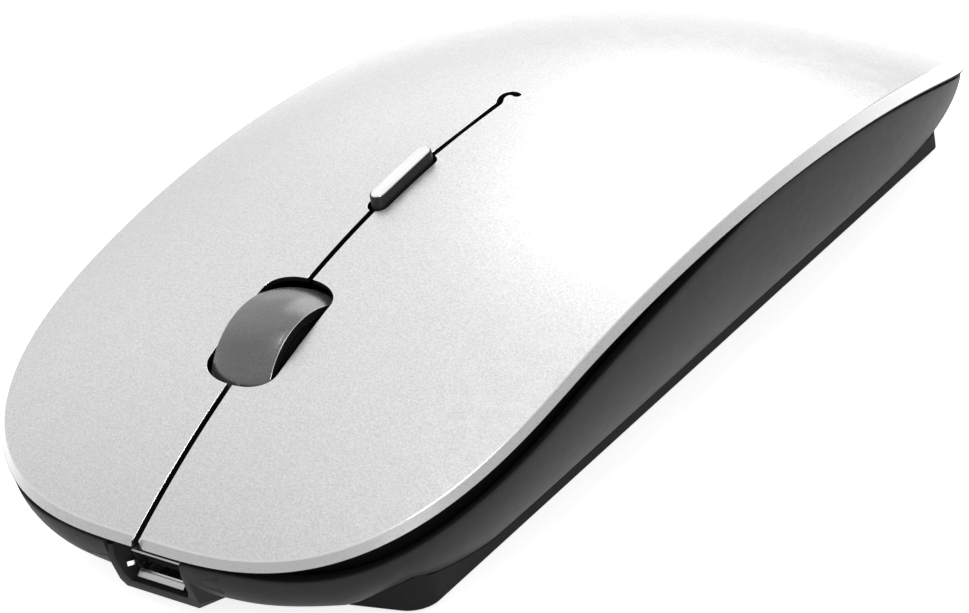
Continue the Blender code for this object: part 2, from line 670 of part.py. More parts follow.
def receiver(looks):
    """The plug-in radio receiver, stored in its bay under the palm."""
    middle = (0, (BAY_FRONT + BAY_REAR) / 2, 4.0)
    cap = box("receiver_cap", (-7.4, 38.2, 1.0), (7.4, 43.9, 6.6), looks["black"], middle)
    bevelled(cap, 0.6)
    plug = box("receiver_plug", (-6.0, 26.6, 1.4), (6.0, 37.9, 5.9), looks["can"], middle)
    boolean(plug, box("cut_receiver_plug", (-5.6, 20, 1.8), (5.6, 37.2, 3.7)))


def screws(looks):
    names = iter(("front_right_screw", "rear_right_screw", "front_left_screw", "rear_left_screw"))
    for x in (-POST_X, POST_X):
        for y in POST_YS:
            name = next(names)
            profile = [(0, 0.75), (1.75, 0.75), (1.75, 1.3), (0.85, 1.35), (0.85, 8.4), (0, 8.9)]
            made = turned(name, profile, (x, y, 0), "Z", looks["can"], 14)
            for turn, (w, h) in enumerate(((2.2, 0.5), (0.5, 2.2))):
                low, high = (x - w / 2, y - h / 2, 0), (x + w / 2, y + h / 2, 1.05)
                boolean(made, box(f"cut_{name}_{turn}", low, high))


def build():
    clear_scene()
    looks = {
        "shell": material("silver_shell", (0.72, 0.72, 0.73), 0.34, 0.75),
        "base": material("graphite_base", (0.035, 0.036, 0.038), 0.38),
        "plate": material("black_plate", (0.018, 0.018, 0.019), 0.5),
        "black": material("black_inner", (0.008, 0.008, 0.009), 0.6),
        "tyre": material("soft_tyre", (0.12, 0.12, 0.125), 0.45),
        "hub": material("grey_hub", (0.2, 0.2, 0.21), 0.5),
        "chrome": material("bright_button", (0.85, 0.85, 0.86), 0.12, 1.0),
        "foot": material("glide_foot", (0.03, 0.03, 0.032), 0.3),
        "board": material("green_board", (0.02, 0.12, 0.05), 0.45),
        "chip": material("black_chip", (0.015, 0.015, 0.016), 0.5),
        "can": material("tinned_steel", (0.62, 0.62, 0.64), 0.28, 1.0),
        "part_green": material("green_encoder", (0.03, 0.22, 0.12), 0.4),
        "white_plastic": material("white_plastic", (0.75, 0.75, 0.73), 0.45),
        "lens": material("clear_lens", (0.8, 0.85, 0.88), 0.05),
        "led": material("red_led", (0.55, 0.03, 0.03), 0.15),
        "cell": material("foil_cell", (0.55, 0.56, 0.58), 0.35, 0.7),
        "lead_red": material("red_lead", (0.5, 0.02, 0.02), 0.5),
        "lead_black": material("black_lead", (0.01, 0.01, 0.01), 0.5),
    }
    upper_shell(looks)
    base_shell(looks)
    mid_frame(looks)
    bottom_plate(looks)
    glide_feet(looks)
    port_hood(looks)
    wheel(looks)
    wheel_cradle(looks)
    encoder(looks)
    switches(looks)
    dpi_button(looks)
    boards(looks)
    electronics(looks)
    charging_socket(looks)
    power_slider(looks)
    receiver(looks)
    screws(looks)


build()
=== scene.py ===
"""The finished look of a slim wireless mouse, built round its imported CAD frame.

Lengths inside the modelling functions are millimetres, as in the part's own source; MM makes metres.
Frame: front edge of the keys towards -Y, the user's left hand side towards +X, desk at z = 0.
"""
import json
import math

import bmesh
import bpy
import numpy as np
from mathutils import Matrix, Vector
from mathutils.geometry import delaunay_2d_cdt

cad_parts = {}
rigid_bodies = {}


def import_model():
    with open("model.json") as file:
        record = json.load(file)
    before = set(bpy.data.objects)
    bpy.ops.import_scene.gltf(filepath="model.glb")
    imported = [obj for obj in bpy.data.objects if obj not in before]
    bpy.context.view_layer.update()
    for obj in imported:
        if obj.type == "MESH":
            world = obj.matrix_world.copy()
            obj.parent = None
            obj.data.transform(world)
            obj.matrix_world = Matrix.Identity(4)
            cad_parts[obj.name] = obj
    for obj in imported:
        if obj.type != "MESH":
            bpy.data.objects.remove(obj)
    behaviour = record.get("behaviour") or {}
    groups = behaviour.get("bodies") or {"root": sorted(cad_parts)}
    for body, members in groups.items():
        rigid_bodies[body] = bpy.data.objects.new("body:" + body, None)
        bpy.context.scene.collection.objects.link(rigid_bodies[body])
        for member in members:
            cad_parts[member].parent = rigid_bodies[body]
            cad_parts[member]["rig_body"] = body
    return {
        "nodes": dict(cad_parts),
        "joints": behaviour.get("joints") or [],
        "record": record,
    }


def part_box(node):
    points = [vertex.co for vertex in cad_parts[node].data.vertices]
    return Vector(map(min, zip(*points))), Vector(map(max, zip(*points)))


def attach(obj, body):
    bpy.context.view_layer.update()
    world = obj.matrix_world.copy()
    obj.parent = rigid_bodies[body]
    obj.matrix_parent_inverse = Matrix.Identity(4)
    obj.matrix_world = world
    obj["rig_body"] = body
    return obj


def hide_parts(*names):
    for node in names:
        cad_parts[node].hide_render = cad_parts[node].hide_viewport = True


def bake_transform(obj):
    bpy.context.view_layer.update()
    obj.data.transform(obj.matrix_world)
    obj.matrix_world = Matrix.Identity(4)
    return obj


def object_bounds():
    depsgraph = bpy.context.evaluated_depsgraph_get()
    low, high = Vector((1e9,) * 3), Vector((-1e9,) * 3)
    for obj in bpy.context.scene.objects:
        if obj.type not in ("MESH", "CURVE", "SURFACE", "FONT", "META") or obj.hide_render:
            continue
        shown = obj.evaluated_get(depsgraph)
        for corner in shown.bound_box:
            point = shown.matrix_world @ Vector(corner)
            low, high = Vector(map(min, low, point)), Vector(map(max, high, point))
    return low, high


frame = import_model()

MM = 0.001
DOWN = Vector((0, 0, -1))
CAD_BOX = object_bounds()
SLOTS = {entry["node"]: entry["material_slot"] for entry in frame["record"]["subparts"]}
LOOKS = {}

# Outer form, repeated from the part's source.
HALF_LENGTH = CAD_BOX[1].y / MM - 0.01
HALF_WIDTH = 28.54
WIDEST_Y = -27.4
FRONT_POWER = 2.8
REAR_POWER = 2.35
CROWN_HEIGHT = 25.65
CENTRE_LINE = (-0.35, -17.4, -1.93, -1.0, 1.28)
CROSS_DROP = (5.03, 0.71, -1.83)
BAND_MIDDLE = 1.33
BAND_TAPER = 0.47
BASE_INSET = 0.4
HULL_WALL = 1.3
HULL_CENTRE = (0.0, -3.0)
CLEAR = 0.3
FOOT_EDGE = 0.08
KEY_SWING = math.radians(0.4)
HINGE_Y = frame["joints"][0].get("pos_m", [0, 0.0014, 0])[1] / MM

# Edges and slots of the upper shell. The rim's profile has shares of the bevel's width and the band's height.
RIM_BEVEL = 0.5
RIM_PROFILE = ((1.0, 0.0), (0.86, 0.05), (0.78, 0.12), (0.06, 0.84), (0.0, 0.88))
CUT_FILLET = 0.05
CORNER_ROUND = 0.15
RIM_UNDERCUT = 0.12
HALF_SLIT = 0.31
HALF_HOOK = 0.38
HOOK_START = -2.9
OPENING_HALF_WIDTH = 4.05
OPENING_FRONT = -42.05
OPENING_REAR = -30.1
OPENING_END = 2.2
SLOT_HALF_WIDTH = 1.12
SLOT_FRONT = -20.95
SLOT_REAR = -12.15
GRID_STEP = 1.3

# The platform, and the hull's floor over it: (x, y, corner radius) from the front middle to the rear middle.
PLATE_BOTTOM = 0.5
PLATE_TOP = 1.3
PLATFORM_CORNERS = (
    (0, -48.9, 0), (8.0, -48.5, 6), (15.2, -47.1, 6), (22.25, -45.2, 2.8), (12.0, 46.8, 1.2), (0, 47.2, 0))
FLOOR_CORNERS = ((0, -47.3, 0), (8.0, -46.9, 6), (20.7, -43.4, 2.2), (10.4, 45.2, 1.7), (0, 45.6, 0))

# The camera: degrees, and metres where no unit is named.
AZIMUTH = 43.86
ELEVATION = 27.217
ROLL = -9.417
FOCAL_LENGTH_MM = 185.58
CAMERA_DISTANCE = 0.48305
CAMERA_TARGET_MM = (-12.133, 3.988, -1.503)

# Studio.
SKY_LOW = 0.6
SKY_HIGH = 1.02
SKY_TOWARDS = (-0.4, 0.33, 0.55)
REAR_BOX_WATTS = 3.0
LOW_BOX_WATTS = 0.22
TOP_BOX_WATTS = 2.6
CORNER_BOX_WATTS = 0.7
FLOOR_GLOW = 0.8
FLOOR_HALF_WIDTH = 6.0


# ---- small tools

def box_mm(node):
    low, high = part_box(node)
    return low / MM, high / MM


def add_object(data):
    """An object in the scene for a mesh, light or camera, named after it."""
    made = bpy.data.objects.new(data.name, data)
    bpy.context.scene.collection.objects.link(made)
    return made


def make_mesh(name, points, faces, *looks):
    """A mesh from millimetre points, with a material slot for each look."""
    mesh = bpy.data.meshes.new(name)
    mesh.from_pydata([[value * MM for value in point] for point in points], [], faces)
    for look in looks:
        mesh.materials.append(LOOKS[look])
    return mesh


def make_object(name, points, faces, look, sharp=32):
    """A mesh object, smooth but for edges sharper than the given angle."""
    mesh = make_mesh(name, points, faces, look)
    mesh.validate(clean_customdata=False)
    return smooth(add_object(mesh), sharp)


def smooth(made, sharp):
    made.data.shade_smooth()
    made.data.set_sharp_from_angle(angle=math.radians(sharp))
    return made


def face_outwards(made):
    work = bmesh.new()
    work.from_mesh(made.data)
    bmesh.ops.remove_doubles(work, verts=work.verts, dist=1e-7)
    bmesh.ops.recalc_face_normals(work, faces=work.faces)
    work.to_mesh(made.data)
    work.free()
    return made


def place(made, node, slot=None, replaces=True):
    """Puts a piece on a CAD node's body and lets it stand for the node; the slot argument is not used."""
    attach(made, frame["nodes"][node]["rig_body"])
    slot or SLOTS[node]
    if replaces:
        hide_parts(node)
    return made


def lofted(name, loops, look, node, sharp=35, **ends):
    """A loft, faced outwards, that stands for a CAD node."""
    return place(face_outwards(make_object(name, *loft(loops, **ends), look, sharp)), node)


def loft(loops, closed=True, capped=True):
    """Points and faces of loops of equal length, joined one to the next; the ends are closed by caps."""
    size = len(loops[0])
    points = [point for loop in loops for point in loop]
    faces = []
    for level in range(len(loops) - 1):
        for i in range(size if closed else size - 1):
            j = (i + 1) % size
            a, b = level * size, (level + 1) * size
            faces.append((a + i, a + j, b + j, b + i))
    if capped:
        faces.append(tuple(reversed(range(size))))
        faces.append(tuple(range(len(points) - size, len(points))))
    return points, faces


def resample(points, step):
    """The polyline's points, respaced at about the given step, with both ends kept."""
    line = np.array(points, float)
    run = np.concatenate([[0], np.cumsum(np.linalg.norm(np.diff(line, axis=0), axis=1))])
    count = max(2, int(round(run[-1] / step)) + 1)
    at = np.linspace(0, run[-1], count)
    return [(float(np.interp(d, run, line[:, 0])), float(np.interp(d, run, line[:, 1]))) for d in at]


def smooth_curve(points, per_span=10):
    """A Catmull-Rom curve through the points."""
    padded = [points[0]] + list(points) + [points[-1]]
    out = []
    for a, b, c, d in zip(padded, padded[1:], padded[2:], padded[3:]):
        for t in np.arange(per_span) / per_span:
            weights = (-t + 2 * t ** 2 - t ** 3, 2 - 5 * t ** 2 + 3 * t ** 3,
                       t + 4 * t ** 2 - 3 * t ** 3, t ** 3 - t ** 2)
            out.append(tuple(0.5 * sum(w * v for w, v in zip(weights, values)) for values in zip(a, b, c, d)))
    return out + [tuple(points[-1])]


def quarter_turn(steps):
    return [math.pi / 2 * step / steps for step in range(steps + 1)]


def stadium(half_width, half_length, steps=10, middle=(0.0, 0.0)):
    """A slot-shaped outline along Y, anticlockwise."""
    outline = []
    straight = half_length - half_width
    for step in range(2 * steps + 2):
        turn = math.pi * (step if step <= steps else step - 1) / steps
        lift = straight if step <= steps else -straight
        across, along = half_width * math.cos(turn), half_width * math.sin(turn)
        outline.append((middle[0] + across, middle[1] + along + lift))
    return outline


def rounded_outline(corners, steps=6):
    """A closed outline of (x, y, radius) corners, anticlockwise, with an arc in each."""
    out = []
    count = len(corners)
    for i, (x, y, radius) in enumerate(corners):
        here = Vector((x, y))
        back = Vector(corners[i - 1][:2]) - here
        ahead = Vector(corners[(i + 1) % count][:2]) - here
        if radius <= 0:
            out.append((x, y))
            continue
        back.normalize()
        ahead.normalize()
        half = back.angle(ahead) / 2
        reach = radius / math.tan(half)
        start, end = here + back * reach, here + ahead * reach
        centre = here + (back + ahead).normalized() * (radius / math.sin(half))
        for step in range(steps + 1):
            spoke = (start - centre).lerp(end - centre, step / steps).normalized() * radius
            out.append(tuple(centre + spoke))
    return out


def rectangle(x0, y0, x1, y1, radius):
    return rounded_outline([(x0, y0, radius), (x1, y0, radius), (x1, y1, radius), (x0, y1, radius)])


def shifted(loop, distance):
    """A closed anticlockwise outline moved outwards by the distance, or inwards if it is negative."""
    ring = np.array(loop, float)
    along = np.roll(ring, -1, 0) - ring
    along /= np.linalg.norm(along, axis=1)[:, None] + 1e-12
    normal = np.stack([along[:, 1], -along[:, 0]], 1)
    before = np.roll(normal, 1, 0)
    share = 1 + (normal * before).sum(1)
    mitre = (normal + before) / np.maximum(share, 0.35)[:, None]
    return [tuple(point) for point in ring + mitre * distance]


def fill(loops, inner_points=()):
    """Triangles over an outline with holes: the first loop is the outline, the others are holes."""
    points = [Vector(point) for loop in loops for point in loop] + [Vector(point) for point in inner_points]
    edges = []
    start = 0
    for loop in loops:
        edges += [(start + i, start + (i + 1) % len(loop)) for i in range(len(loop))]
        start += len(loop)
    made = delaunay_2d_cdt(points, edges, [], 0, 1e-9)
    verts, triangles, origin = made[0], made[2], made[3]
    rings = [np.array(loop, float) for loop in loops]
    keep = []
    for triangle in triangles:
        middle = sum((verts[i] for i in triangle), Vector((0, 0))) / 3
        if inside(rings[0], middle) and not any(inside(ring, middle) for ring in rings[1:]):
            keep.append([origin[i][0] for i in triangle])
    return [anticlockwise(points, triangle) for triangle in keep]


def inside(ring, point):
    x, y = point
    x0, y0 = ring[:, 0], ring[:, 1]
    x1, y1 = np.roll(x0, -1), np.roll(y0, -1)
    crosses = (y0 > y) != (y1 > y)
    at = x0 + (y - y0) * (x1 - x0) / np.where(crosses, y1 - y0, 1)
    return bool((crosses & (x < at)).sum() % 2)


def anticlockwise(points, triangle):
    a, b, c = (points[i] for i in triangle)
    turn = (b[0] - a[0]) * (c[1] - a[1]) - (b[1] - a[1]) * (c[0] - a[0])
    return tuple(triangle) if turn > 0 else tuple(reversed(triangle))


class Solid:
    """The points and faces of one mesh, gathered ring by ring from outlines that are anticlockwise."""

    def __init__(self):
        self.points = []
        self.faces = []

    def ring(self, loop, height):
        """Adds an outline at a height, or at the height that a function gives, and returns its numbers."""
        start = len(self.points)
        self.points += [(x, y, height(x, y) if callable(height) else height) for x, y in loop]
        return list(range(start, len(self.points)))

    def strip(self, *rings, hole=False):
        """Joins each ring to the one above it, facing outwards, or inwards for a hole."""
        for low, high in zip(rings, rings[1:]):
            for i in range(len(low)):
                j = (i + 1) % len(low)
                quad = (low[i], low[j], high[j], high[i])
                self.faces.append(quad[::-1] if hole else quad)

    def cover(self, rings, loops, down=False):
        """Fills the first of some rings, less the others, with triangles that face up or down."""
        numbers = [i for ring in rings for i in ring]
        for triangle in fill(loops):
            corners = tuple(numbers[i] for i in triangle)
            self.faces.append(corners[::-1] if down else corners)


def plate(name, outline, holes, bottom, top, look, bevel=0.12, hole_bevel=0.06):
    """A flat plate with holes and bevelled edges."""
    solid = Solid()
    tight = [shifted(outline, -bevel)] + [shifted(hole, hole_bevel) for hole in holes]
    lows, highs = [], []
    for number, (small, full) in enumerate(zip(tight, [outline] + holes)):
        drop = hole_bevel if number else bevel
        levels = ((small, bottom), (full, bottom + drop), (full, top - drop), (small, top))
        rings = [solid.ring(loop, z) for loop, z in levels]
        solid.strip(*rings, hole=number > 0)
        lows.append(rings[0])
        highs.append(rings[-1])
    solid.cover(lows, tight, down=True)
    solid.cover(highs, tight)
    return make_object(name, solid.points, solid.faces, look)


def box_plate(name, node, look, radius, bevel, bottom=None):
    """A plate that fills a CAD node's box, or the box above a height, and stands for the node."""
    low, high = box_mm(node)
    outline = rectangle(low.x, low.y, high.x, high.y, radius)
    place(plate(name, outline, [], low.z if bottom is None else bottom, high.z, look, bevel), node)


def turned(name, profile, centre, look, axis="X", steps=96):
    """A closed profile of (radius, distance along the axis), turned round the axis."""
    loops = []
    for step in range(steps):
        angle = 2 * math.pi * step / steps
        ring = []
        for radius, along in profile:
            a, b = radius * math.cos(angle), radius * math.sin(angle)
            offset = (along, a, b) if axis == "X" else (a, b, along)
            ring.append(tuple(c + o for c, o in zip(centre, offset)))
        loops.append(ring)
    made = make_object(name, *loft(loops + [loops[0]], capped=False), look)
    return smooth(face_outwards(made), 40)


# ---- outer form

def centre_height(y):
    u = y / HALF_LENGTH
    return CROWN_HEIGHT + sum(value * u ** (i + 1) for i, value in enumerate(CENTRE_LINE))


def top_height(x, y):
    u = y / HALF_LENGTH
    drop = CROSS_DROP[0] + CROSS_DROP[1] * u + CROSS_DROP[2] * u * u
    return centre_height(y) - drop * (x / HALF_WIDTH) ** 2


def top_slope(x, y):
    """The upward normal of the top surface, not normalised."""
    step = 0.01
    dx = (top_height(x + step, y) - top_height(x - step, y)) / (2 * step)
    dy = (top_height(x, y + step) - top_height(x, y - step)) / (2 * step)
    return Vector((-dx, -dy, 1))


def band_height(y):
    return BAND_MIDDLE + BAND_TAPER * y / HALF_LENGTH


def under_height(x, y):
    return top_height(x, y) - band_height(y)


def core_height(x, y):
    """The shell's underside: as thick as the rim's band, and thinner round the wheel, which passes close."""
    full = band_height(y)
    beyond_x = max(0.0, abs(x) - OPENING_HALF_WIDTH)
    beyond_y = max(0.0, OPENING_FRONT - y, y - OPENING_REAR)
    return top_height(x, y) - full + (full - 0.5) * math.exp(-(beyond_x ** 2 + beyond_y ** 2))


def egg_point(angle, inset=0.0):
    """The outline's point in a direction from the hull's centre, moved inwards by the inset."""
    near, far = 0.0, 80.0
    dx, dy = math.cos(angle), math.sin(angle)
    for _ in range(44):
        middle = (near + far) / 2
        x, y = HULL_CENTRE[0] + middle * dx, HULL_CENTRE[1] + middle * dy
        front = y < WIDEST_Y
        reach = HALF_LENGTH + WIDEST_Y if front else HALF_LENGTH - WIDEST_Y
        power = FRONT_POWER if front else REAR_POWER
        if abs(x / HALF_WIDTH) ** power + abs((y - WIDEST_Y) / reach) ** power < 1:
            near = middle
        else:
            far = middle
    return HULL_CENTRE[0] + (near - inset) * dx, HULL_CENTRE[1] + (near - inset) * dy


# ---- upper shell

def hook_sides():
    """The left and right edges of the little crook that ends the slit, and its rounded end."""
    path = np.array(smooth_curve([(0, HOOK_START), (0, -2.5), (-0.14, -2.05), (-0.42, -1.6), (-0.62, -1.1),
                                  (-0.6, -0.6), (-0.34, -0.24), (0.08, -0.14), (0.5, -0.26)]))
    along = np.gradient(path, axis=0)
    along /= np.linalg.norm(along, axis=1)[:, None]
    left = np.stack([-along[:, 1], along[:, 0]], 1)
    share = np.linspace(0, 1, len(path))
    half = (HALF_SLIT + (HALF_HOOK - HALF_SLIT) * np.clip((share - 0.45) / 0.25, 0, 1))[:, None]
    cap = []
    turn = math.atan2(left[-1][1], left[-1][0])
    for step in range(1, 8):
        angle = turn - math.pi * step / 8
        cap.append((path[-1][0] + HALF_HOOK * math.cos(angle), path[-1][1] + HALF_HOOK * math.sin(angle)))
    return [tuple(p) for p in path + left * half], [tuple(p) for p in path - left * half], cap


def crossing(line):
    """Cuts a line where it passes x = 0: the part on the -X side, the crossing, the part on the +X side."""
    for i, (a, b) in enumerate(zip(line, line[1:])):
        if a[0] < 0 <= b[0]:
            share = -a[0] / (b[0] - a[0])
            return line[:i + 1], (0.0, a[1] + share * (b[1] - a[1])), line[i + 1:]
    raise ValueError("the crook doesn't cross the middle")


def cut_line(side):
    """The slit's edge on one side, from the front rim back to the start of the crook."""
    line = []
    for turn in reversed(quarter_turn(4)):
        x = HALF_SLIT + CORNER_ROUND * (1 - math.cos(turn))
        line.append((x, -HALF_LENGTH + CORNER_ROUND * (1 - math.sin(turn))))
    for sign, end in ((-1, OPENING_FRONT), (1, OPENING_REAR)):
        arc = []
        for turn in quarter_turn(24):
            x = OPENING_HALF_WIDTH * math.sin(turn) ** 0.9
            y = end - sign * OPENING_END * (1 - math.cos(turn) ** 0.9)
            if x >= HALF_SLIT + 0.1:
                arc.append((x, y))
        arc.insert(0, (HALF_SLIT, end))
        line += arc if sign < 0 else reversed(arc)
    slot = rectangle(-SLOT_HALF_WIDTH, SLOT_FRONT, SLOT_HALF_WIDTH, SLOT_REAR, 1.0)
    right = [point for point in slot if point[0] > HALF_SLIT + 0.1]
    start = min(range(len(right)), key=lambda i: right[i][1])
    line += [(HALF_SLIT, SLOT_FRONT)] + right[start:] + right[:start] + [(HALF_SLIT, SLOT_REAR)]
    line.append((HALF_SLIT, HOOK_START))
    return [(side * x, y) for x, y in line]


def respaced(line, limit=0.5):
    """The line with points added so that none are further apart than the limit."""
    out = [line[0]]
    for a, b in zip(line, line[1:]):
        count = max(1, math.ceil(math.dist(a, b) / limit))
        for share in np.arange(1, count + 1) / count:
            out.append(tuple(p + (q - p) * share for p, q in zip(a, b)))
    return out


def rim_line(side):
    """The outline from the slit at the front to the middle of the rear."""
    first = math.atan2(-HALF_LENGTH - HULL_CENTRE[1], HALF_SLIT + CORNER_ROUND)
    angles = np.linspace(first, math.pi / 2, 900)
    line = [egg_point(angle) for angle in angles]
    line[-1] = (0.0, HALF_LENGTH)
    near = [point for point in line if point[0] < 2.0 and point[1] < 0]
    line = resample(near, 0.12)[:-1] + resample(line[len(near) - 1:], 0.55)
    return [(side * x, y) for x, y in line if x > HALF_SLIT + CORNER_ROUND or y > 0]


def shell_border(side):
    """One half's border from the crook forwards to the front and back along the rim, with its edge radii."""
    left, right, cap = hook_sides()
    before, middle, after = crossing(left)
    crook = [middle] + (before[::-1] if side < 0 else after + cap + right[::-1])
    cuts = crook + respaced(cut_line(side)[:-1])[::-1]
    rim = rim_line(side)
    border = []
    for point in cuts + rim:
        if not border or math.dist(point, border[-1]) > 0.02:
            border.append(point)
    first_rim = border.index(rim[0])
    return border, [rim_share(point) if i >= first_rim else 0.0 for i, point in enumerate(border)]


def rim_share(point):
    """How far the rim's bevel has grown at a point: it starts from nothing beside the slit."""
    return 1.0 if point[1] > 0 else ease((abs(point[0]) - HALF_SLIT + 0.15) / 0.6)


def edge_profile(share, band):
    """The shell's edge as (inset, drop, tilt) steps: a small round on a cut, a flat bevel on the rim."""
    steps = []
    for number, (inset, drop) in enumerate(RIM_PROFILE):
        turn = math.pi / 2 * number / (len(RIM_PROFILE) - 1)
        round_inset, round_drop = CUT_FILLET * (1 - math.sin(turn)), CUT_FILLET * (1 - math.cos(turn))
        flat = math.atan2(0.5 * band, 0.68 * RIM_BEVEL)
        tilt = (0.0, 0.6 * flat, flat, flat, math.pi / 2)[number]
        steps.append((round_inset + (RIM_BEVEL * inset - round_inset) * share,
                      round_drop + (drop * band - round_drop) * share,
                      turn + (tilt - turn) * share))
    return steps


def border_normals(border, side):
    """Unit normals that point out of the material, and how far a mitre stretches each."""
    line = np.array(border, float)
    along = np.diff(line, axis=0)
    along /= np.linalg.norm(along, axis=1)[:, None]
    normal = np.stack([along[:, 1], -along[:, 0]], 1) * side
    first = np.concatenate([normal[:1], normal])
    second = np.concatenate([normal, normal[-1:]])
    first[-1] = second[-1] = (0, 1)
    share = 1 + (first * second).sum(1)
    mitre = (first + second) / np.maximum(share, 0.5)[:, None]
    return mitre / np.linalg.norm(mitre, axis=1)[:, None], mitre


def inner_grid(loop):
    """Points on a triangular grid that are well inside the loop."""
    ring = np.array(loop, float)
    low, high = ring.min(0), ring.max(0)
    points = []
    for row, y in enumerate(np.arange(low[1], high[1], 0.87 * GRID_STEP)):
        for x in np.arange(low[0] + row % 2 * GRID_STEP / 2, high[0], GRID_STEP):
            if inside(ring, (x, y)) and np.hypot(*(ring - (x, y)).T).min() > 0.5 * GRID_STEP:
                points.append((x, y))
    return points


def shell_levels(border, shares, normals, mitres, add):
    """The rings of numbered points down the shell's edge, from the top surface to the underside."""
    rings = [[] for _ in range(len(RIM_PROFILE) + 2)]
    for (x, y), share, normal, mitre in zip(border, shares, normals, mitres):
        outward = Vector((normal[0], normal[1], 0))
        for ring, (back, drop, tilt) in zip(rings, edge_profile(share, band_height(y))):
            px, py = x - mitre[0] * back, y - mitre[1] * back
            shade = outward * math.sin(tilt) + top_slope(px, py) * math.cos(tilt)
            ring.append(add(px, py, top_height(px, py) - drop, shade))
        z = core_height(x, y)
        lean = RIM_UNDERCUT * share
        turned_down = outward + 0.08 * DOWN
        rings[-2].append(add(x - mitre[0] * lean, y - mitre[1] * lean, z + 0.05, turned_down))
        back = max(CUT_FILLET, RIM_BEVEL * share)
        rings[-1].append(add(x - mitre[0] * back, y - mitre[1] * back, z, DOWN))
    return rings


def half_shell(name, side):
    """One half of the upper shell as a closed solid whose normals come from the surface's own formula."""
    border, shares = shell_border(side)
    normals, mitres = border_normals(border, side)
    crook = np.array(hook_sides()[0])
    slope = np.gradient(crook, axis=0)[int(np.argmin(np.abs(crook[:, 0])))]
    normals[0] = mitres[0] = np.array([slope[1], -slope[0]]) / np.linalg.norm(slope)
    points, shades, faces, corner_shades, finishes = [], [], [], [], []

    def add(x, y, z, shade):
        points.append((x, y, z))
        shades.append(shade.normalized())
        return len(points) - 1

    def face(corners, mirrored=False, flat=None, finish=0):
        faces.append(tuple(corners)[::-1] if mirrored else tuple(corners))
        finishes.append(finish)
        corner_shades.extend([flat] * len(faces[-1]) if flat else [shades[i] for i in faces[-1]])

    rings = shell_levels(border, shares, normals, mitres, add)
    seam_y = np.linspace(points[rings[0][-1]][1], points[rings[0][0]][1], 70)[1:-1]
    seam_top = [add(0.0, y, top_height(0, y), top_slope(0, y)) for y in seam_y]
    seam_low = [add(0.0, y, core_height(0, y), DOWN) for y in seam_y]
    loop = [points[i][:2] for i in rings[0] + seam_top]
    grid = inner_grid(loop)
    order = rings[0] + seam_top + [add(x, y, top_height(x, y), top_slope(x, y)) for x, y in grid]
    low_order = rings[-1] + seam_low + [add(x, y, core_height(x, y), DOWN) for x, y in grid]
    for triangle in fill([loop], grid):
        face(order[i] for i in triangle)
        face((low_order[i] for i in triangle), True, DOWN, 2)
    for level, (upper, lower) in enumerate(zip(rings, rings[1:])):
        for i in range(len(border) - 1):
            on_rim = shares[i + 1] > 0 or border[i][1] < -HALF_LENGTH + CORNER_ROUND
            under = Vector((normals[i][0], normals[i][1], -1)).normalized() if lower is rings[-1] else None
            quad = (upper[i], lower[i], lower[i + 1], upper[i + 1])
            face(quad, side < 0, under, edge_finish(level, on_rim))
    across = Vector((-side, 0, 0))
    tops = [rings[0][-1]] + seam_top + [rings[0][0]]
    lows = [rings[-1][-1]] + seam_low + [rings[-1][0]]
    for i in range(len(tops) - 1):
        face((tops[i], lows[i], lows[i + 1], tops[i + 1]), side < 0, across)
    for end in (0, -1):
        face((ring[end] for ring in rings), (end == 0) == (side > 0), across)
    # Slots: silver paint; bright edge look, a painted highlight line on the crease and the cuts' rounds;
    # near-black core, painted shade on the cut walls and under the band, also on the underside; darker band
    # look, painted shade on the rim's band.
    mesh = make_mesh(name, points, faces, "silver_shell", "bright_edge_highlight", "dark_core_shade", "shaded_rim_band")
    mesh.polygons.foreach_set("material_index", finishes)
    mesh.shade_smooth()
    mesh.normals_split_custom_set([tuple(shade) for shade in corner_shades])
    return add_object(mesh)


def edge_finish(level, on_rim):
    """Material number of a strip of the edge: polished crease and cut rounds 1, bright as a painted highlight
    line; rim's band 3, a darker copy as painted shade; dark core under them 2, a near-black moulding that is
    painted shade on the cut walls and the band's foot.
    """
    if level > len(RIM_PROFILE) - 3:
        return 2
    return 3 if on_rim and level > 1 else 1


def upper_shell():
    for side, word in ((1, "left"), (-1, "right")):
        made = half_shell(f"shell_{word}", side)
        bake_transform(made)
        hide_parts(f"{word}_key", "palm_cover")


# ---- base

def mirrored_outline(corners):
    """The outline of one side's corners and their mirror images, anticlockwise from its front middle."""
    return rounded_outline([*corners, *((-x, y, radius) for x, y, radius in corners[-2:0:-1])], 8)


def platform_point(angle, inset=0.0):
    ring = PLATFORM_RING
    dx, dy = math.cos(angle), math.sin(angle)
    ax, ay = ring[:, 0], ring[:, 1] - HULL_CENTRE[1]
    bx, by = np.roll(ax, -1), np.roll(ay, -1)
    cross = dx * (by - ay) - dy * (bx - ax)
    cross = np.where(np.abs(cross) < 1e-9, 1e-9, cross)
    reach = (ax * (by - ay) - ay * (bx - ax)) / cross
    share = (ax * dy - ay * dx) / cross
    best = float(np.max(np.where((reach > 0) & (share >= -1e-9) & (share <= 1 + 1e-9), reach, 0)))
    return HULL_CENTRE[0] + (best - inset) * dx, HULL_CENTRE[1] + (best - inset) * dy


def ease(share):
    """A smooth step from 0 to 1."""
    share = min(1.0, max(0.0, share))
    return share * share * (3 - 2 * share)


def shadow_gap(x, y):
    """Height of the dark recess between the rim and the base: almost closed at the rear and over the chin."""
    if y > 1:
        return 0.12
    rise = math.sin(min(1.0, (1 - y) / 30.0) * math.pi / 2)
    beside_chin = ease((abs(x) - 8.0) / 16.0) if y < -30 else 1.0
    return 0.12 + rise * (0.3 + 1.43 * beside_chin)


def platform_height(x, y):
    """Where the hull meets the platform's side: highest at the front corners, slightly raised at the rear."""
    side = 1.75 + 2.5 * max(0.0, (-33.0 - y) / 12.3) ** 1.6
    across = 4.15 - 0.53 * max(0.0, 21.6 - abs(x)) if y < -44 else side
    rear = 0.9 * max(0.0, (y - 36.0) / 11.0) ** 2
    return max(1.5 if y < -44 else 1.75, min(side, across)) + rear


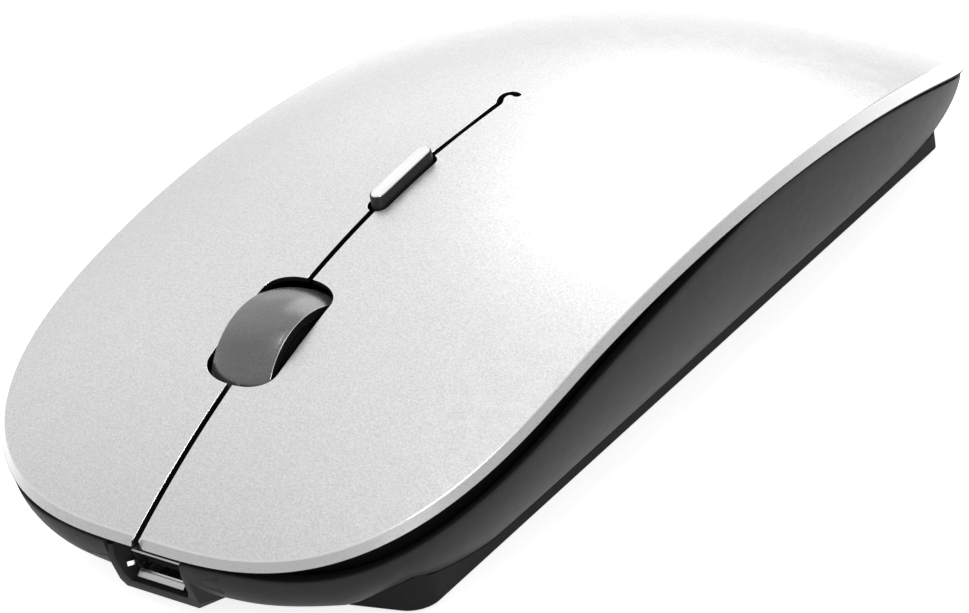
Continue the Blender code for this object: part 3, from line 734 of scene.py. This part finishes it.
def belly(top, bottom, steps):
    """Points down the hull's wall after its top one: a curve that bulges, most of all beside the chin."""
    front = ease((-44.0 - top[1]) / 8.0)
    beside_chin = front * ease((22.0 - abs(top[0])) / 12.0)
    out = 0.82 + 0.04 * front + 0.09 * beside_chin
    down = 0.55 + 0.15 * front + 0.24 * beside_chin
    middle = [top[i] * out + bottom[i] * (1 - out) for i in range(2)]
    middle.append(bottom[2] * down + top[2] * (1 - down))
    curve = []
    for step in range(1, steps + 1):
        t = step / steps
        weights = ((1 - t) ** 2, 2 * t * (1 - t), t * t)
        curve.append(tuple(sum(w * p[i] for w, p in zip(weights, (top, middle, bottom))) for i in range(3)))
    return curve


def hull_section(angle):
    """The hull's wall in one direction from the centre: outside down to a small lip, then the inside up."""
    ox, oy = egg_point(angle, BASE_INSET)
    high = under_height(*egg_point(angle)) - shadow_gap(ox, oy)
    px, py = platform_point(angle)
    low = platform_height(px, py)
    lip = 0.18

    def at_rim(inset, z):
        return (*egg_point(angle, BASE_INSET + inset), z)

    def at_foot(inset, z):
        return (*platform_point(angle, inset), low + z)

    section = []
    for turn in quarter_turn(3):
        section.append(at_rim(lip * (1 - math.sin(turn)), high - lip * (1 - math.cos(turn))))
    section += belly(section[-1], at_foot(-FOOT_EDGE, 0.05), 26)
    section += [at_foot(0.03 - FOOT_EDGE, -0.03), at_foot(0.05, -0.06), at_foot(HULL_WALL, -0.1)]
    inside_top = at_rim(HULL_WALL, high)
    inner = [inside_top] + belly(inside_top, at_foot(HULL_WALL, 1.0), 8)
    return section + inner[::-1]


def hull():
    """The dark hull as one wall that runs from one side of the chin round the rear to the other side."""
    gap = math.atan2(4.7, HALF_LENGTH + HULL_CENTRE[1])
    angles = np.linspace(-math.pi / 2 + gap, 3 * math.pi / 2 - gap, 320)
    sections = [hull_section(angle) for angle in angles]
    smooth(lofted("hull", sections, "graphite_base", "base_shell"), 35)


def inner_skirt():
    """The black wall seen in the shadow gap; it stops short of the keys at the end of their travel."""
    start = math.atan2(8.6 - HULL_CENTRE[1], HALF_WIDTH)
    sections = []
    for angle in np.linspace(start - 0.12, -math.pi - start + 0.12, 200):
        outer, inner = egg_point(angle, 2.4), egg_point(angle, 3.8)
        ring = []
        for x, y in (outer, inner):
            travel = max(0.0, HINGE_Y - y) * math.tan(KEY_SWING)
            ring.append((x, y, under_height(x, y) - CLEAR - travel))
        ex, ey = egg_point(angle)
        low = under_height(ex, ey) - shadow_gap(ex, ey) - 1.0
        for x, y in (inner, outer):
            ring.append((x, y, max(low, 6.3 if abs(x) < 6 else 0)))
        sections.append(ring)
    lofted("inner_skirt", sections, "black_inner", "mid_frame")


def circle(x, y, radius, steps=40):
    turns = [2 * math.pi * k / steps for k in range(steps)]
    return [(x + radius * math.cos(turn), y + radius * math.sin(turn)) for turn in turns]


def underside_features():
    """Where the windows, feet and screws are, from the CAD pieces they belong to."""
    cap_low, cap_high = box_mm("receiver_cap")
    plug_front = box_mm("receiver_plug")[0].y
    power_y = sum(box_mm("power_switch"), Vector()).y / 2
    feet, screws = {}, {}
    for node in sorted(frame["nodes"]):
        low, high = box_mm(node)
        if node.endswith("_foot"):
            feet[node] = (low.x, low.y, high.x, high.y, min(high.x - low.x, high.y - low.y) / 2 * 0.95)
        if node.endswith("_screw"):
            screws[node] = ((low.x + high.x) / 2, (low.y + high.y) / 2)
    return {
        "lens": (0.0, sum(box_mm("sensor_lens"), Vector()).y / 2),
        "power": rectangle(-3.7, power_y - 1.5, 3.7, power_y + 1.5, 0.6),
        "bay": rectangle(cap_low.x - 0.35, plug_front - 0.5, cap_high.x + 0.35, cap_high.y + 0.4, 0.9),
        "feet": feet,
        "screws": screws,
    }


def platform(spots):
    """The black platform: a plate with a skirt that follows the hull, windows, and recesses for the feet."""
    outline = [tuple(point) for point in PLATFORM_RING]
    windows = [circle(*spots["lens"], 4.1, 48), spots["power"], spots["bay"]]
    windows += [circle(x, y, 2.1, 32) for x, y in spots["screws"].values()]
    recesses = [rectangle(x0 - 0.25, y0 - 0.25, x1 + 0.25, y1 + 0.25, radius + 0.2)
                for x0, y0, x1, y1, radius in spots["feet"].values()]
    bevel, hole_bevel, wall = 0.22, 0.1, 0.6
    solid = Solid()
    low_loops = [shifted(outline, -bevel)] + [shifted(hole, hole_bevel) for hole in windows + recesses]
    lows = [solid.ring(loop, PLATE_BOTTOM) for loop in low_loops]
    solid.cover(lows, low_loops, down=True)

    def rim(x, y):
        return platform_height(x, y) - 0.12

    inner = shifted(outline, -wall)
    levels = ((outline, PLATE_BOTTOM + bevel), (outline, rim), (inner, rim), (inner, PLATE_TOP))
    skirt = [solid.ring(loop, height) for loop, height in levels]
    solid.strip(lows[0], *skirt)
    tops = [skirt[-1]]
    for number, (low, hole) in enumerate(zip(lows[1:], windows + recesses)):
        through = number < len(windows)
        top = solid.ring(hole, PLATE_TOP if through else 0.95)
        solid.strip(low, solid.ring(hole, PLATE_BOTTOM + hole_bevel), top, hole=True)
        if through:
            tops.append(top)
        else:
            solid.cover([top], [hole], down=True)
    solid.cover(tops, [inner] + windows)
    place(make_object("platform", solid.points, solid.faces, "black_plate"), "bottom_plate")


def feet(spots):
    for node, (x0, y0, x1, y1, radius) in spots["feet"].items():
        outline = rectangle(x0, y0, x1, y1, radius)
        place(plate(node + "_pad", outline, [], 0.0, 0.65, "glide_foot", 0.16), node)


def screws(spots):
    """Cross-head case screws, each as a head with a recess and a shank."""
    shank = [(0, 1.12), (1.25, 1.12), (1.25, 1.34), (0.82, 1.42), (0.82, 8.3), (0.3, 8.8), (0, 8.8)]
    for node, (x, y) in spots["screws"].items():
        cross = []
        for quarter in range(4):
            cos, sin = math.cos(math.pi / 2 * quarter), math.sin(math.pi / 2 * quarter)
            for a, b in ((1.05, -0.22), (1.05, 0.22), (0.3, 0.3)):
                cross.append((x + a * cos - b * sin, y + a * sin + b * cos))
        place(plate(node + "_head", circle(x, y, 1.72), [cross], 0.75, 1.3, "screw_steel", 0.22, 0.05), node)
        place(turned(node + "_shank", shank, (x, y, 0), "screw_steel", "Z", 28), node)


def floor_pan(spots):
    """The hull's floor over the platform, seen only through the windows, and the receiver's bay."""
    holes = [circle(*spots["lens"], 4.6), spots["power"], spots["bay"]]
    holes += [circle(x, y, 1.2, 24) for x, y in spots["screws"].values()]
    floor = respaced(mirrored_outline(FLOOR_CORNERS), 3.0)
    place(plate("floor_pan", floor, holes, 1.6, 2.5, "graphite_base"), "base_shell")
    outer, gap = shifted(spots["bay"], 0.9), shifted(spots["bay"], 0.05)
    place(plate("bay_wall", outer, [gap], 2.6, 8.0, "black_inner"), "base_shell", "black_inner")
    place(plate("bay_roof", outer, [], 8.1, 8.9, "black_inner"), "base_shell", "black_inner")


# ---- chin and socket

def chin():
    """The faceted chin: a leaning mouth frame, open at the top, whose sides flare back into the hull."""
    def at(x, z, back=0.0):
        return (x, -55.77 + max(0.0, 4.83 - z) * 0.35 + back, z)

    def mirrored(half):
        return half + [(-x, *rest) for x, *rest in reversed(half)]

    outer = mirrored([(-4.3, 6.5), (-4.8, 5.05), (-4.8, 5.05), (-4.8, 2.3), (-4.4, 1.55)])
    inner = mirrored([(-3.95, 6.5), (-3.98, 5.2), (-3.98, 5.2), (-3.85, 3.3), (-3.4, 2.5)])
    flare = mirrored([(-8.5, -55.75, 6.3), (-8.3, -55.1, 4.3), (-6.3, -53.1, 2.35), (-6.3, -53.1, 2.35),
                      (-4.6, -50.0, 1.65)])
    loops = [[(x, -50.6, z) for x, z in inner], [at(x, z, 0.1) for x, z in inner],
             [at(x, z) for x, z in outer], flare, [(x, -49.3, z) for x, _, z in flare]]
    points, faces = loft(loops, closed=False, capped=False)
    size, last = len(outer), len(loops) - 1
    faces.append(tuple(level * size for level in range(last + 1)))
    faces.append(tuple(level * size + size - 1 for level in reversed(range(last + 1))))
    faces += [(last * size + i, last * size + i + 1, i + 1, i) for i in range(size - 1)]
    made = face_outwards(make_object("port_chin", points, faces, "graphite_base", 20))
    bevel = made.modifiers.new("Edge", "BEVEL")
    bevel.width = 0.06 * MM
    bevel.segments = 2
    bevel.limit_method = "ANGLE"
    bevel.angle_limit = math.radians(25)
    mesh = bpy.data.meshes.new_from_object(made.evaluated_get(bpy.context.evaluated_depsgraph_get()))
    made.modifiers.clear()
    made.data = mesh
    place(smooth(made, 35), "port_hood")


def socket_outline(grow):
    """The micro socket's mouth, wide side up, anticlockwise in x and z."""
    half = [(2.55, 3.15, 0.25), (3.45, 4.05, 0.3), (3.45, 5.2, 0.3)]
    corners = [(-2.55, 3.15, 0.25), *half, (-3.45, 5.2, 0.3), (-3.45, 4.05, 0.3)]
    return shifted(rounded_outline(corners, 4), grow)


def socket_lip(name, ends, flare, front):
    """One of the lips that curl outwards round the socket's mouth."""
    rows = []
    for step in range(5):
        bend = 1.1 * math.sin(step / 4 * math.pi / 2.4) ** 2
        y = front + 0.2 - 0.62 * step / 4
        rows.append([(x + flare[0] * bend, y, z + flare[1] * bend) for x, z in ends])
    thick = Vector((flare[0], 0.25, flare[1])).normalized() * 0.16
    near = [row[0] for row in rows] + [row[1] for row in reversed(rows)]
    behind = [tuple(Vector(point) + thick) for point in near]
    size = len(near)
    faces = [(i, i + 1, size - 2 - i, size - 1 - i) for i in range(size // 2 - 1)]
    faces += [tuple(size + k for k in reversed(face)) for face in faces]
    faces += [(i, (i + 1) % size, size + (i + 1) % size, size + i) for i in range(size)]
    lip = make_object(f"socket_lip_{name}", near + behind, faces, "tinned_steel", 50)
    place(face_outwards(lip), "usb_socket")


def socket():
    low, high = box_mm("usb_socket")
    depth = ((low.y + 0.35, 0.22), (high.y, 0.22), (high.y, 0.0), (low.y + 0.35, 0.0))
    loops = [[(x, y, z) for x, z in socket_outline(grow)] for y, grow in depth]
    lofted("socket_shell", loops + [loops[0]], "tinned_steel", "usb_socket", capped=False)
    socket_lip("bottom", [(-2.75, 3.5), (2.75, 3.5)], (0, -0.5), low.y)
    socket_lip("top", [(2.9, 5.25), (-2.9, 5.25)], (0, 0.3), low.y)
    socket_lip("left", [(-3.4, 4.15), (-3.4, 3.7)], (-0.35, 0), low.y)
    socket_lip("right", [(3.4, 3.7), (3.4, 4.15)], (0.35, 0), low.y)
    box_plate("socket_tongue", "usb_tongue", "black_inner", 0.3, 0.1)
    low, high = box_mm("usb_tongue")
    for number in range(5):
        x = (number - 2) * 0.65
        strip = rectangle(x - 0.13, low.y + 0.35, x + 0.13, high.y - 0.2, 0.05)
        name = f"socket_contact_{number + 1}"
        contact = plate(name, strip, [], low.z - 0.07, low.z + 0.05, "gold_contact", 0.02)
        place(contact, "usb_socket", replaces=False)


# ---- wheel and buttons

def wheel():
    """The tyre: a crowned tread with small rounds at its edges, turned round the axle."""
    low, high = box_mm("scroll_tyre")
    radius, half = (high.z - low.z) / 2, (high.x - low.x) / 2
    inner, edge = 6.3, 0.14
    tread = [(radius - 0.72 * abs(x / half) ** 2.3, x) for x in np.linspace(edge - half, half - edge, 33)]
    round_off = []
    for turn in quarter_turn(5)[1:-1]:
        round_off.append((tread[0][0] - edge * (1 - math.sin(turn)), edge - half - edge * math.cos(turn)))
    profile = [(inner, 0.15 - half), (inner + 0.15, -half), *round_off, *tread]
    profile += [(r, -x) for r, x in reversed(round_off)] + [(inner + 0.15, half), (inner, half - 0.15)]
    made = turned("tyre", profile, (low + high) / 2, "soft_tyre", "X", 144)
    # Painted light on the tyre: the flat sides take the near-black inside look as painted shade, and the
    # rounds between sides and tread take the bright edge look as a painted highlight line.
    made.data.materials.append(LOOKS["black_inner"])
    made.data.materials.append(LOOKS["bright_edge_highlight"])
    for face in made.data.polygons:
        sideways = abs(face.normal.x)
        face.material_index = 1 if sideways > 0.85 else 2 if sideways > 0.6 else 0
    place(made, "scroll_tyre")


def resolution_button():
    """A dark gloss bar with a bright plate let into its top; the bar's dark colour is a painted dark
    reflection on its sides.
    """
    low, high = box_mm("dpi_button")
    middle, half = (low.y + high.y) / 2, (high.y - low.y) / 2
    width, top = 0.86, 1.15

    def stack(name, levels, look):
        """A bar of (inset, height over the shell) levels."""
        loops = []
        for inset, rise in levels:
            outline = stadium(width - inset, half - inset, 12, (0.0, middle))
            loops.append([(x, y, centre_height(y) + rise) for x, y in outline])
        lofted(name, loops, look, "dpi_button", 40)

    chamfer = [(0.08 * (1 - math.cos(turn)), top - 0.4 + 0.3 * math.sin(turn)) for turn in quarter_turn(4)]
    # The bar's sides: dark gloss as a painted dark reflection.
    stack("resolution_bar", [(0, -2.6), *chamfer, (0.1, top - 0.1), (0.11, top - 0.25)], "dark_gloss")
    stack("resolution_plate", [(0.13, top - 0.24), (0.13, top - 0.08), (0.18, top - 0.02)], "bright_button")
    base = stadium(2.3, half - 0.5, 10, (0.0, middle))
    place(plate("resolution_flange", base, [], low.z, low.z + 0.7, "black_inner", 0.1), "dpi_button")


def power_slider():
    low, high = box_mm("power_slider")
    box_plate("slider_knob", "power_slider", "white_plastic", 0.35, 0.12, low.z + 0.25)
    for number in range(4):
        x = low.x + (high.x - low.x) * (number + 0.8) / 4.6
        ridge = rectangle(x - 0.18, low.y + 0.2, x + 0.18, high.y - 0.2, 0.08)
        made = plate(f"slider_ridge_{number + 1}", ridge, [], low.z, low.z + 0.5, "white_plastic", 0.08)
        place(made, "power_slider")


def lens(spots):
    """The optical window: a clear plate with a small dome, in a bevelled well."""
    box_plate("lens_plate", "sensor_lens", "clear_lens", 0.6, 0.15, 2.95)
    curve = [(1.7 * math.sin(turn), 1.55 + 0.5 * (1 - math.cos(turn))) for turn in quarter_turn(8)]
    profile = [(0, 2.9), *curve, (2.3, 2.3), (2.5, 2.9)]
    place(turned("lens_dome", profile, (*spots["lens"], 0), "clear_lens", "Z", 48), "sensor_lens")


def receiver():
    box_plate("receiver_grip", "receiver_cap", "black_plate", 0.9, 0.35)
    low, high = box_mm("receiver_plug")
    mouth = rectangle(low.x, low.z, high.x, high.z, 0.45)
    loops = []
    for y, grow in ((low.y, 0.0), (high.y, 0.0), (high.y, -0.32), (low.y, -0.32)):
        loops.append([(x, y, z) for x, z in shifted(mouth, grow)])
    lofted("receiver_shell", loops + [loops[0]], "tinned_steel", "receiver_plug", capped=False)
    core = rectangle(low.x + 0.45, low.y + 0.4, high.x - 0.45, high.y, 0.2)
    place(plate("receiver_block", core, [], 3.7, high.z - 0.45, "black_inner", 0.08), "receiver_plug")


# ---- materials

def set_inputs(node, **values):
    """Sets a node's sockets; an underscore in a name stands for a space."""
    for name, value in values.items():
        node.inputs[name.replace("_", " ")].default_value = value


class Look:
    """A named material with the Principled shader and helpers for procedural detail, in object space."""

    def __init__(self, name, colour, roughness, metallic=0.0, **sockets):
        LOOKS[name] = bpy.data.materials.new(name)
        LOOKS[name].use_nodes = True
        tree = LOOKS[name].node_tree
        self.new = tree.nodes.new
        self.link = tree.links.new
        self.shader = tree.nodes["Principled BSDF"]
        set_inputs(self.shader, Base_Color=(*colour, 1), Roughness=roughness, Metallic=metallic, **sockets)
        self.colour = colour
        self.roughness = roughness
        self.place = self.new("ShaderNodeTexCoord")

    def noise(self, scale, detail=2.0, rough=0.5, stretch=None):
        node = self.new("ShaderNodeTexNoise")
        set_inputs(node, Scale=scale, Detail=detail, Roughness=rough)
        source = self.place.outputs["Object"]
        if stretch:
            mapping = self.new("ShaderNodeMapping")
            set_inputs(mapping, Scale=stretch)
            self.link(source, mapping.inputs["Vector"])
            source = mapping.outputs["Vector"]
        self.link(source, node.inputs["Vector"])
        return node.outputs["Fac"]

    def tint(self, source, darker, lighter, from_low=0.3, from_high=0.7):
        """The base colour, varied by a texture between two brightness factors."""
        ramp = self.new("ShaderNodeValToRGB")
        for stop, at, factor in zip(ramp.color_ramp.elements, (from_low, from_high), (darker, lighter)):
            stop.position = at
            stop.color = (*(min(1, value * factor) for value in self.colour), 1)
        self.link(source, ramp.inputs["Fac"])
        self.link(ramp.outputs["Color"], self.shader.inputs["Base Color"])

    def rough(self, source, spread):
        node = self.new("ShaderNodeMapRange")
        low, high = self.roughness - spread, self.roughness + spread
        set_inputs(node, From_Min=0.3, From_Max=0.7, To_Min=low, To_Max=high)
        self.link(source, node.inputs["Value"])
        self.link(node.outputs["Result"], self.shader.inputs["Roughness"])

    def bump(self, source, distance, strength, below=None):
        node = self.new("ShaderNodeBump")
        set_inputs(node, Distance=distance, Strength=strength)
        self.link(source, node.inputs["Height"])
        if below:
            self.link(below, node.inputs["Normal"])
        self.link(node.outputs["Normal"], self.shader.inputs["Normal"])
        return node.outputs["Normal"]


def satin_silver():
    """Sprayed silver: fine flakes in the paint, a soft orange peel, faint broad variation."""
    look = Look("silver_shell", (0.72, 0.72, 0.725), 0.36, 0.85)
    flakes = look.noise(5200, 2.0, 0.7)
    look.tint(flakes, 0.86, 1.08, 0.36, 0.64)
    look.rough(look.noise(700, 3.0), 0.05)
    peel = look.bump(look.noise(1500), 0.000004, 0.5)
    look.bump(flakes, 0.00001, 0.55, peel)


def polished(name, colour, roughness):
    """The rim's cut metal, with fine lines left by the cutter; a bright copy paints highlight lines on edges,
    a darker copy paints shade on the band.
    """
    look = Look(name, colour, roughness, 0.9)
    lines = look.noise(2600, 2.0, 0.5, (1, 1, 4))
    look.tint(lines, 0.975, 1.02)
    look.rough(lines, 0.03)
    look.bump(lines, 0.0000002, 0.2)


def moulded(name, colour, roughness, grain=3800, depth=0.000012, **sockets):
    """Moulded plastic: a fine spark-eroded grain and slight cloudiness."""
    look = Look(name, colour, roughness, **sockets)
    look.tint(look.noise(600, 3.0), 0.92, 1.08)
    look.rough(look.noise(900, 3.0), 0.02)
    look.bump(look.noise(grain, 3.0, 0.6), depth, 0.6)


def metal(name, colour, roughness, stretch=(1, 1, 1)):
    """Rolled or plated metal with faint lines along one direction."""
    look = Look(name, colour, roughness, 1.0)
    lines = look.noise(900, 3.0, 0.6, stretch)
    look.tint(lines, 0.9, 1.05)
    look.rough(lines, 0.06)
    look.bump(lines, 0.000004, 0.4)


def solder_mask():
    """A circuit board: green mask with lighter tracks under it and a faint weave."""
    look = Look("circuit_board", (0.02, 0.14, 0.06), 0.32)
    tracks = look.new("ShaderNodeTexVoronoi")
    tracks.feature = "DISTANCE_TO_EDGE"
    set_inputs(tracks, Scale=420)
    look.link(look.place.outputs["Object"], tracks.inputs["Vector"])
    look.tint(tracks.outputs["Distance"], 1.7, 0.85, 0.04, 0.09)
    look.bump(look.noise(1800), 0.00002, 0.5)


def pouch():
    """Laminated battery foil: bright, softly creased."""
    look = Look("foil_cell", (0.62, 0.63, 0.65), 0.3, 0.85)
    look.tint(look.noise(90, 4.0), 0.9, 1.08)
    look.bump(look.noise(160, 4.0, 0.6), 0.0002, 0.5)
    look.rough(look.noise(400, 3.0), 0.08)


def rubber():
    """The wheel's soft tyre: satin, with a dusty fine grain."""
    look = Look("soft_tyre", (0.085, 0.085, 0.087), 0.26, 0.35, IOR=2.4)
    grain = look.noise(4200, 4.0, 0.75)
    look.tint(grain, 0.8, 1.3, 0.35, 0.7)
    look.rough(look.noise(1600, 3.0), 0.05)
    look.bump(grain, 0.00001, 0.5)


def clear(name, colour, roughness):
    """Clear moulded plastic with a faint haze."""
    look = Look(name, colour, roughness, Transmission_Weight=0.85, IOR=1.49)
    look.rough(look.noise(1200, 3.0), 0.02)
    look.tint(look.noise(300), 0.94, 1.03)
    look.bump(look.noise(2500), 0.000003, 0.3)


def make_looks():
    satin_silver()
    # Painted light: a bright copy of the cut metal as a highlight line on edges, a darker copy as shade on
    # the rim's band, and a near-black core as shade in the cuts.
    polished("bright_edge_highlight", (0.93, 0.93, 0.935), 0.22)
    polished("shaded_rim_band", (0.6, 0.6, 0.605), 0.3)
    moulded("dark_core_shade", (0.004, 0.004, 0.004), 0.7, Specular_IOR_Level=0.1)
    graphite = (0.019, 0.0191, 0.0195)
    moulded("graphite_base", graphite, 0.45, 5200, 0.000003, Specular_IOR_Level=0.25, IOR=1.18)
    moulded("black_plate", (0.006, 0.006, 0.0062), 0.6, 3200, 0.00002, Specular_IOR_Level=0.12)
    moulded("black_inner", (0.003, 0.003, 0.003), 0.8, 2600, 0.00001, Specular_IOR_Level=0.1)
    rubber()
    moulded("grey_hub", (0.006, 0.006, 0.006), 0.6)
    moulded("dark_gloss", (0.012, 0.012, 0.0125), 0.42, 6000, 0.00001, Specular_IOR_Level=0.25)
    metal("bright_button", (0.95, 0.95, 0.95), 0.2, (1, 0.1, 1))
    metal("tinned_steel", (0.78, 0.78, 0.79), 0.24, (0.15, 1, 1))
    metal("gold_contact", (0.4, 0.29, 0.13), 0.3, (1, 0.1, 1))
    metal("screw_steel", (0.5, 0.5, 0.52), 0.32)
    moulded("glide_foot", (0.035, 0.035, 0.037), 0.28, 1800, 0.00001)
    moulded("white_plastic", (0.72, 0.72, 0.7), 0.42)
    moulded("green_encoder", (0.006, 0.03, 0.018), 0.5)
    solder_mask()
    moulded("black_chip", (0.014, 0.014, 0.015), 0.5)
    clear("clear_lens", (0.9, 0.93, 0.95), 0.04)
    clear("red_led", (0.8, 0.06, 0.05), 0.08)
    pouch()
    moulded("black_lead", (0.01, 0.01, 0.01), 0.5)
    moulded("red_lead", (0.5, 0.02, 0.02), 0.5)


def dress_cad_nodes():
    """Every CAD node that stays gets its slot's procedural material."""
    for name, node in frame["nodes"].items():
        node.data.materials.clear()
        node.data.materials.append(LOOKS[SLOTS[name]])


# ---- camera, light, floor

def camera():
    """The view from the front left, slightly above, as through a long lens."""
    data = bpy.data.cameras.new("camera")
    data.lens = FOCAL_LENGTH_MM
    data.sensor_width = 36
    data.clip_start = 0.01
    data.clip_end = 50
    made = add_object(data)
    pose = Matrix.Translation(Vector(CAMERA_TARGET_MM) * MM)
    for angle, axis in ((AZIMUTH, "Z"), (90 - ELEVATION, "X"), (ROLL, "Z")):
        pose = pose @ Matrix.Rotation(math.radians(angle), 4, axis)
    made.matrix_world = pose @ Matrix.Translation((0, 0, CAMERA_DISTANCE))
    bpy.context.scene.camera = made


def area_light(name, place_at, aim, size, power):
    data = bpy.data.lights.new(name, "AREA")
    data.energy = power
    data.shape = "RECTANGLE"
    data.size, data.size_y = size
    made = add_object(data)
    made.location = place_at
    made.rotation_euler = (Vector(aim) - Vector(place_at)).to_track_quat("-Z", "Y").to_euler()


def surround():
    """A white surround that brightens towards the upper rear."""
    world = bpy.data.worlds.new("studio")
    bpy.context.scene.world = world
    world.use_nodes = True
    tree = world.node_tree
    sky = tree.nodes["Background"]
    set_inputs(sky, Color=(1.0, 1.0, 1.0, 1))
    direction = tree.nodes.new("ShaderNodeTexCoord")
    towards = tree.nodes.new("ShaderNodeVectorMath")
    towards.operation = "DOT_PRODUCT"
    towards.inputs[1].default_value = SKY_TOWARDS
    ramp = tree.nodes.new("ShaderNodeMapRange")
    set_inputs(ramp, From_Min=0.5, From_Max=0.7, To_Min=SKY_LOW, To_Max=SKY_HIGH)
    tree.links.new(direction.outputs["Generated"], towards.inputs[0])
    tree.links.new(towards.outputs["Value"], ramp.inputs["Value"])
    tree.links.new(ramp.outputs["Result"], sky.inputs["Strength"])


def pale_floor():
    glow = {"Emission_Color": (1, 1, 1, 1), "Emission_Strength": FLOOR_GLOW}
    look = Look("pale_floor", (0.85, 0.85, 0.85), 0.6, **glow)
    look.tint(look.noise(3), 0.995, 1.0)
    look.rough(look.noise(20), 0.03)
    reach = FLOOR_HALF_WIDTH / MM
    corners = [(-reach, -reach, 0), (reach, -reach, 0), (reach, reach, 0), (-reach, reach, 0)]
    add_object(make_mesh("floor", corners, [(0, 1, 2, 3)], "pale_floor"))


def studio():
    """The surround, soft boxes that pick out the rim and the wheel, and the floor."""
    surround()
    area_light("rear_box", (-0.22, 0.85, 0.8), (0.0, 0.02, 0.0), (0.8, 0.8), REAR_BOX_WATTS)
    area_light("low_box", (-0.6, 0.75, 0.36), (0.0, 0.02, 0.0), (0.6, 0.3), LOW_BOX_WATTS)
    area_light("top_box", (0.25, -0.23, 0.8), (0.0, 0.0, 0.0), (0.22, 0.22), TOP_BOX_WATTS)
    area_light("right_box", (0.55, -0.5, 0.14), (0.0, 0.0, 0.01), (0.3, 0.16), CORNER_BOX_WATTS)
    pale_floor()
    bpy.context.scene.view_settings.view_transform = "Standard"


# ---- assembly

OUTLINE = mirrored_outline(PLATFORM_CORNERS)
PLATFORM_RING = np.array(respaced(OUTLINE + OUTLINE[:1], 1.0)[:-1])


def main():
    camera()
    make_looks()
    dress_cad_nodes()
    upper_shell()
    hull()
    inner_skirt()
    spots = underside_features()
    for part in (platform, floor_pan, feet, screws):
        part(spots)
    for part in (chin, socket, wheel, resolution_button, power_slider):
        part()
    lens(spots)
    receiver()
    studio()


main()
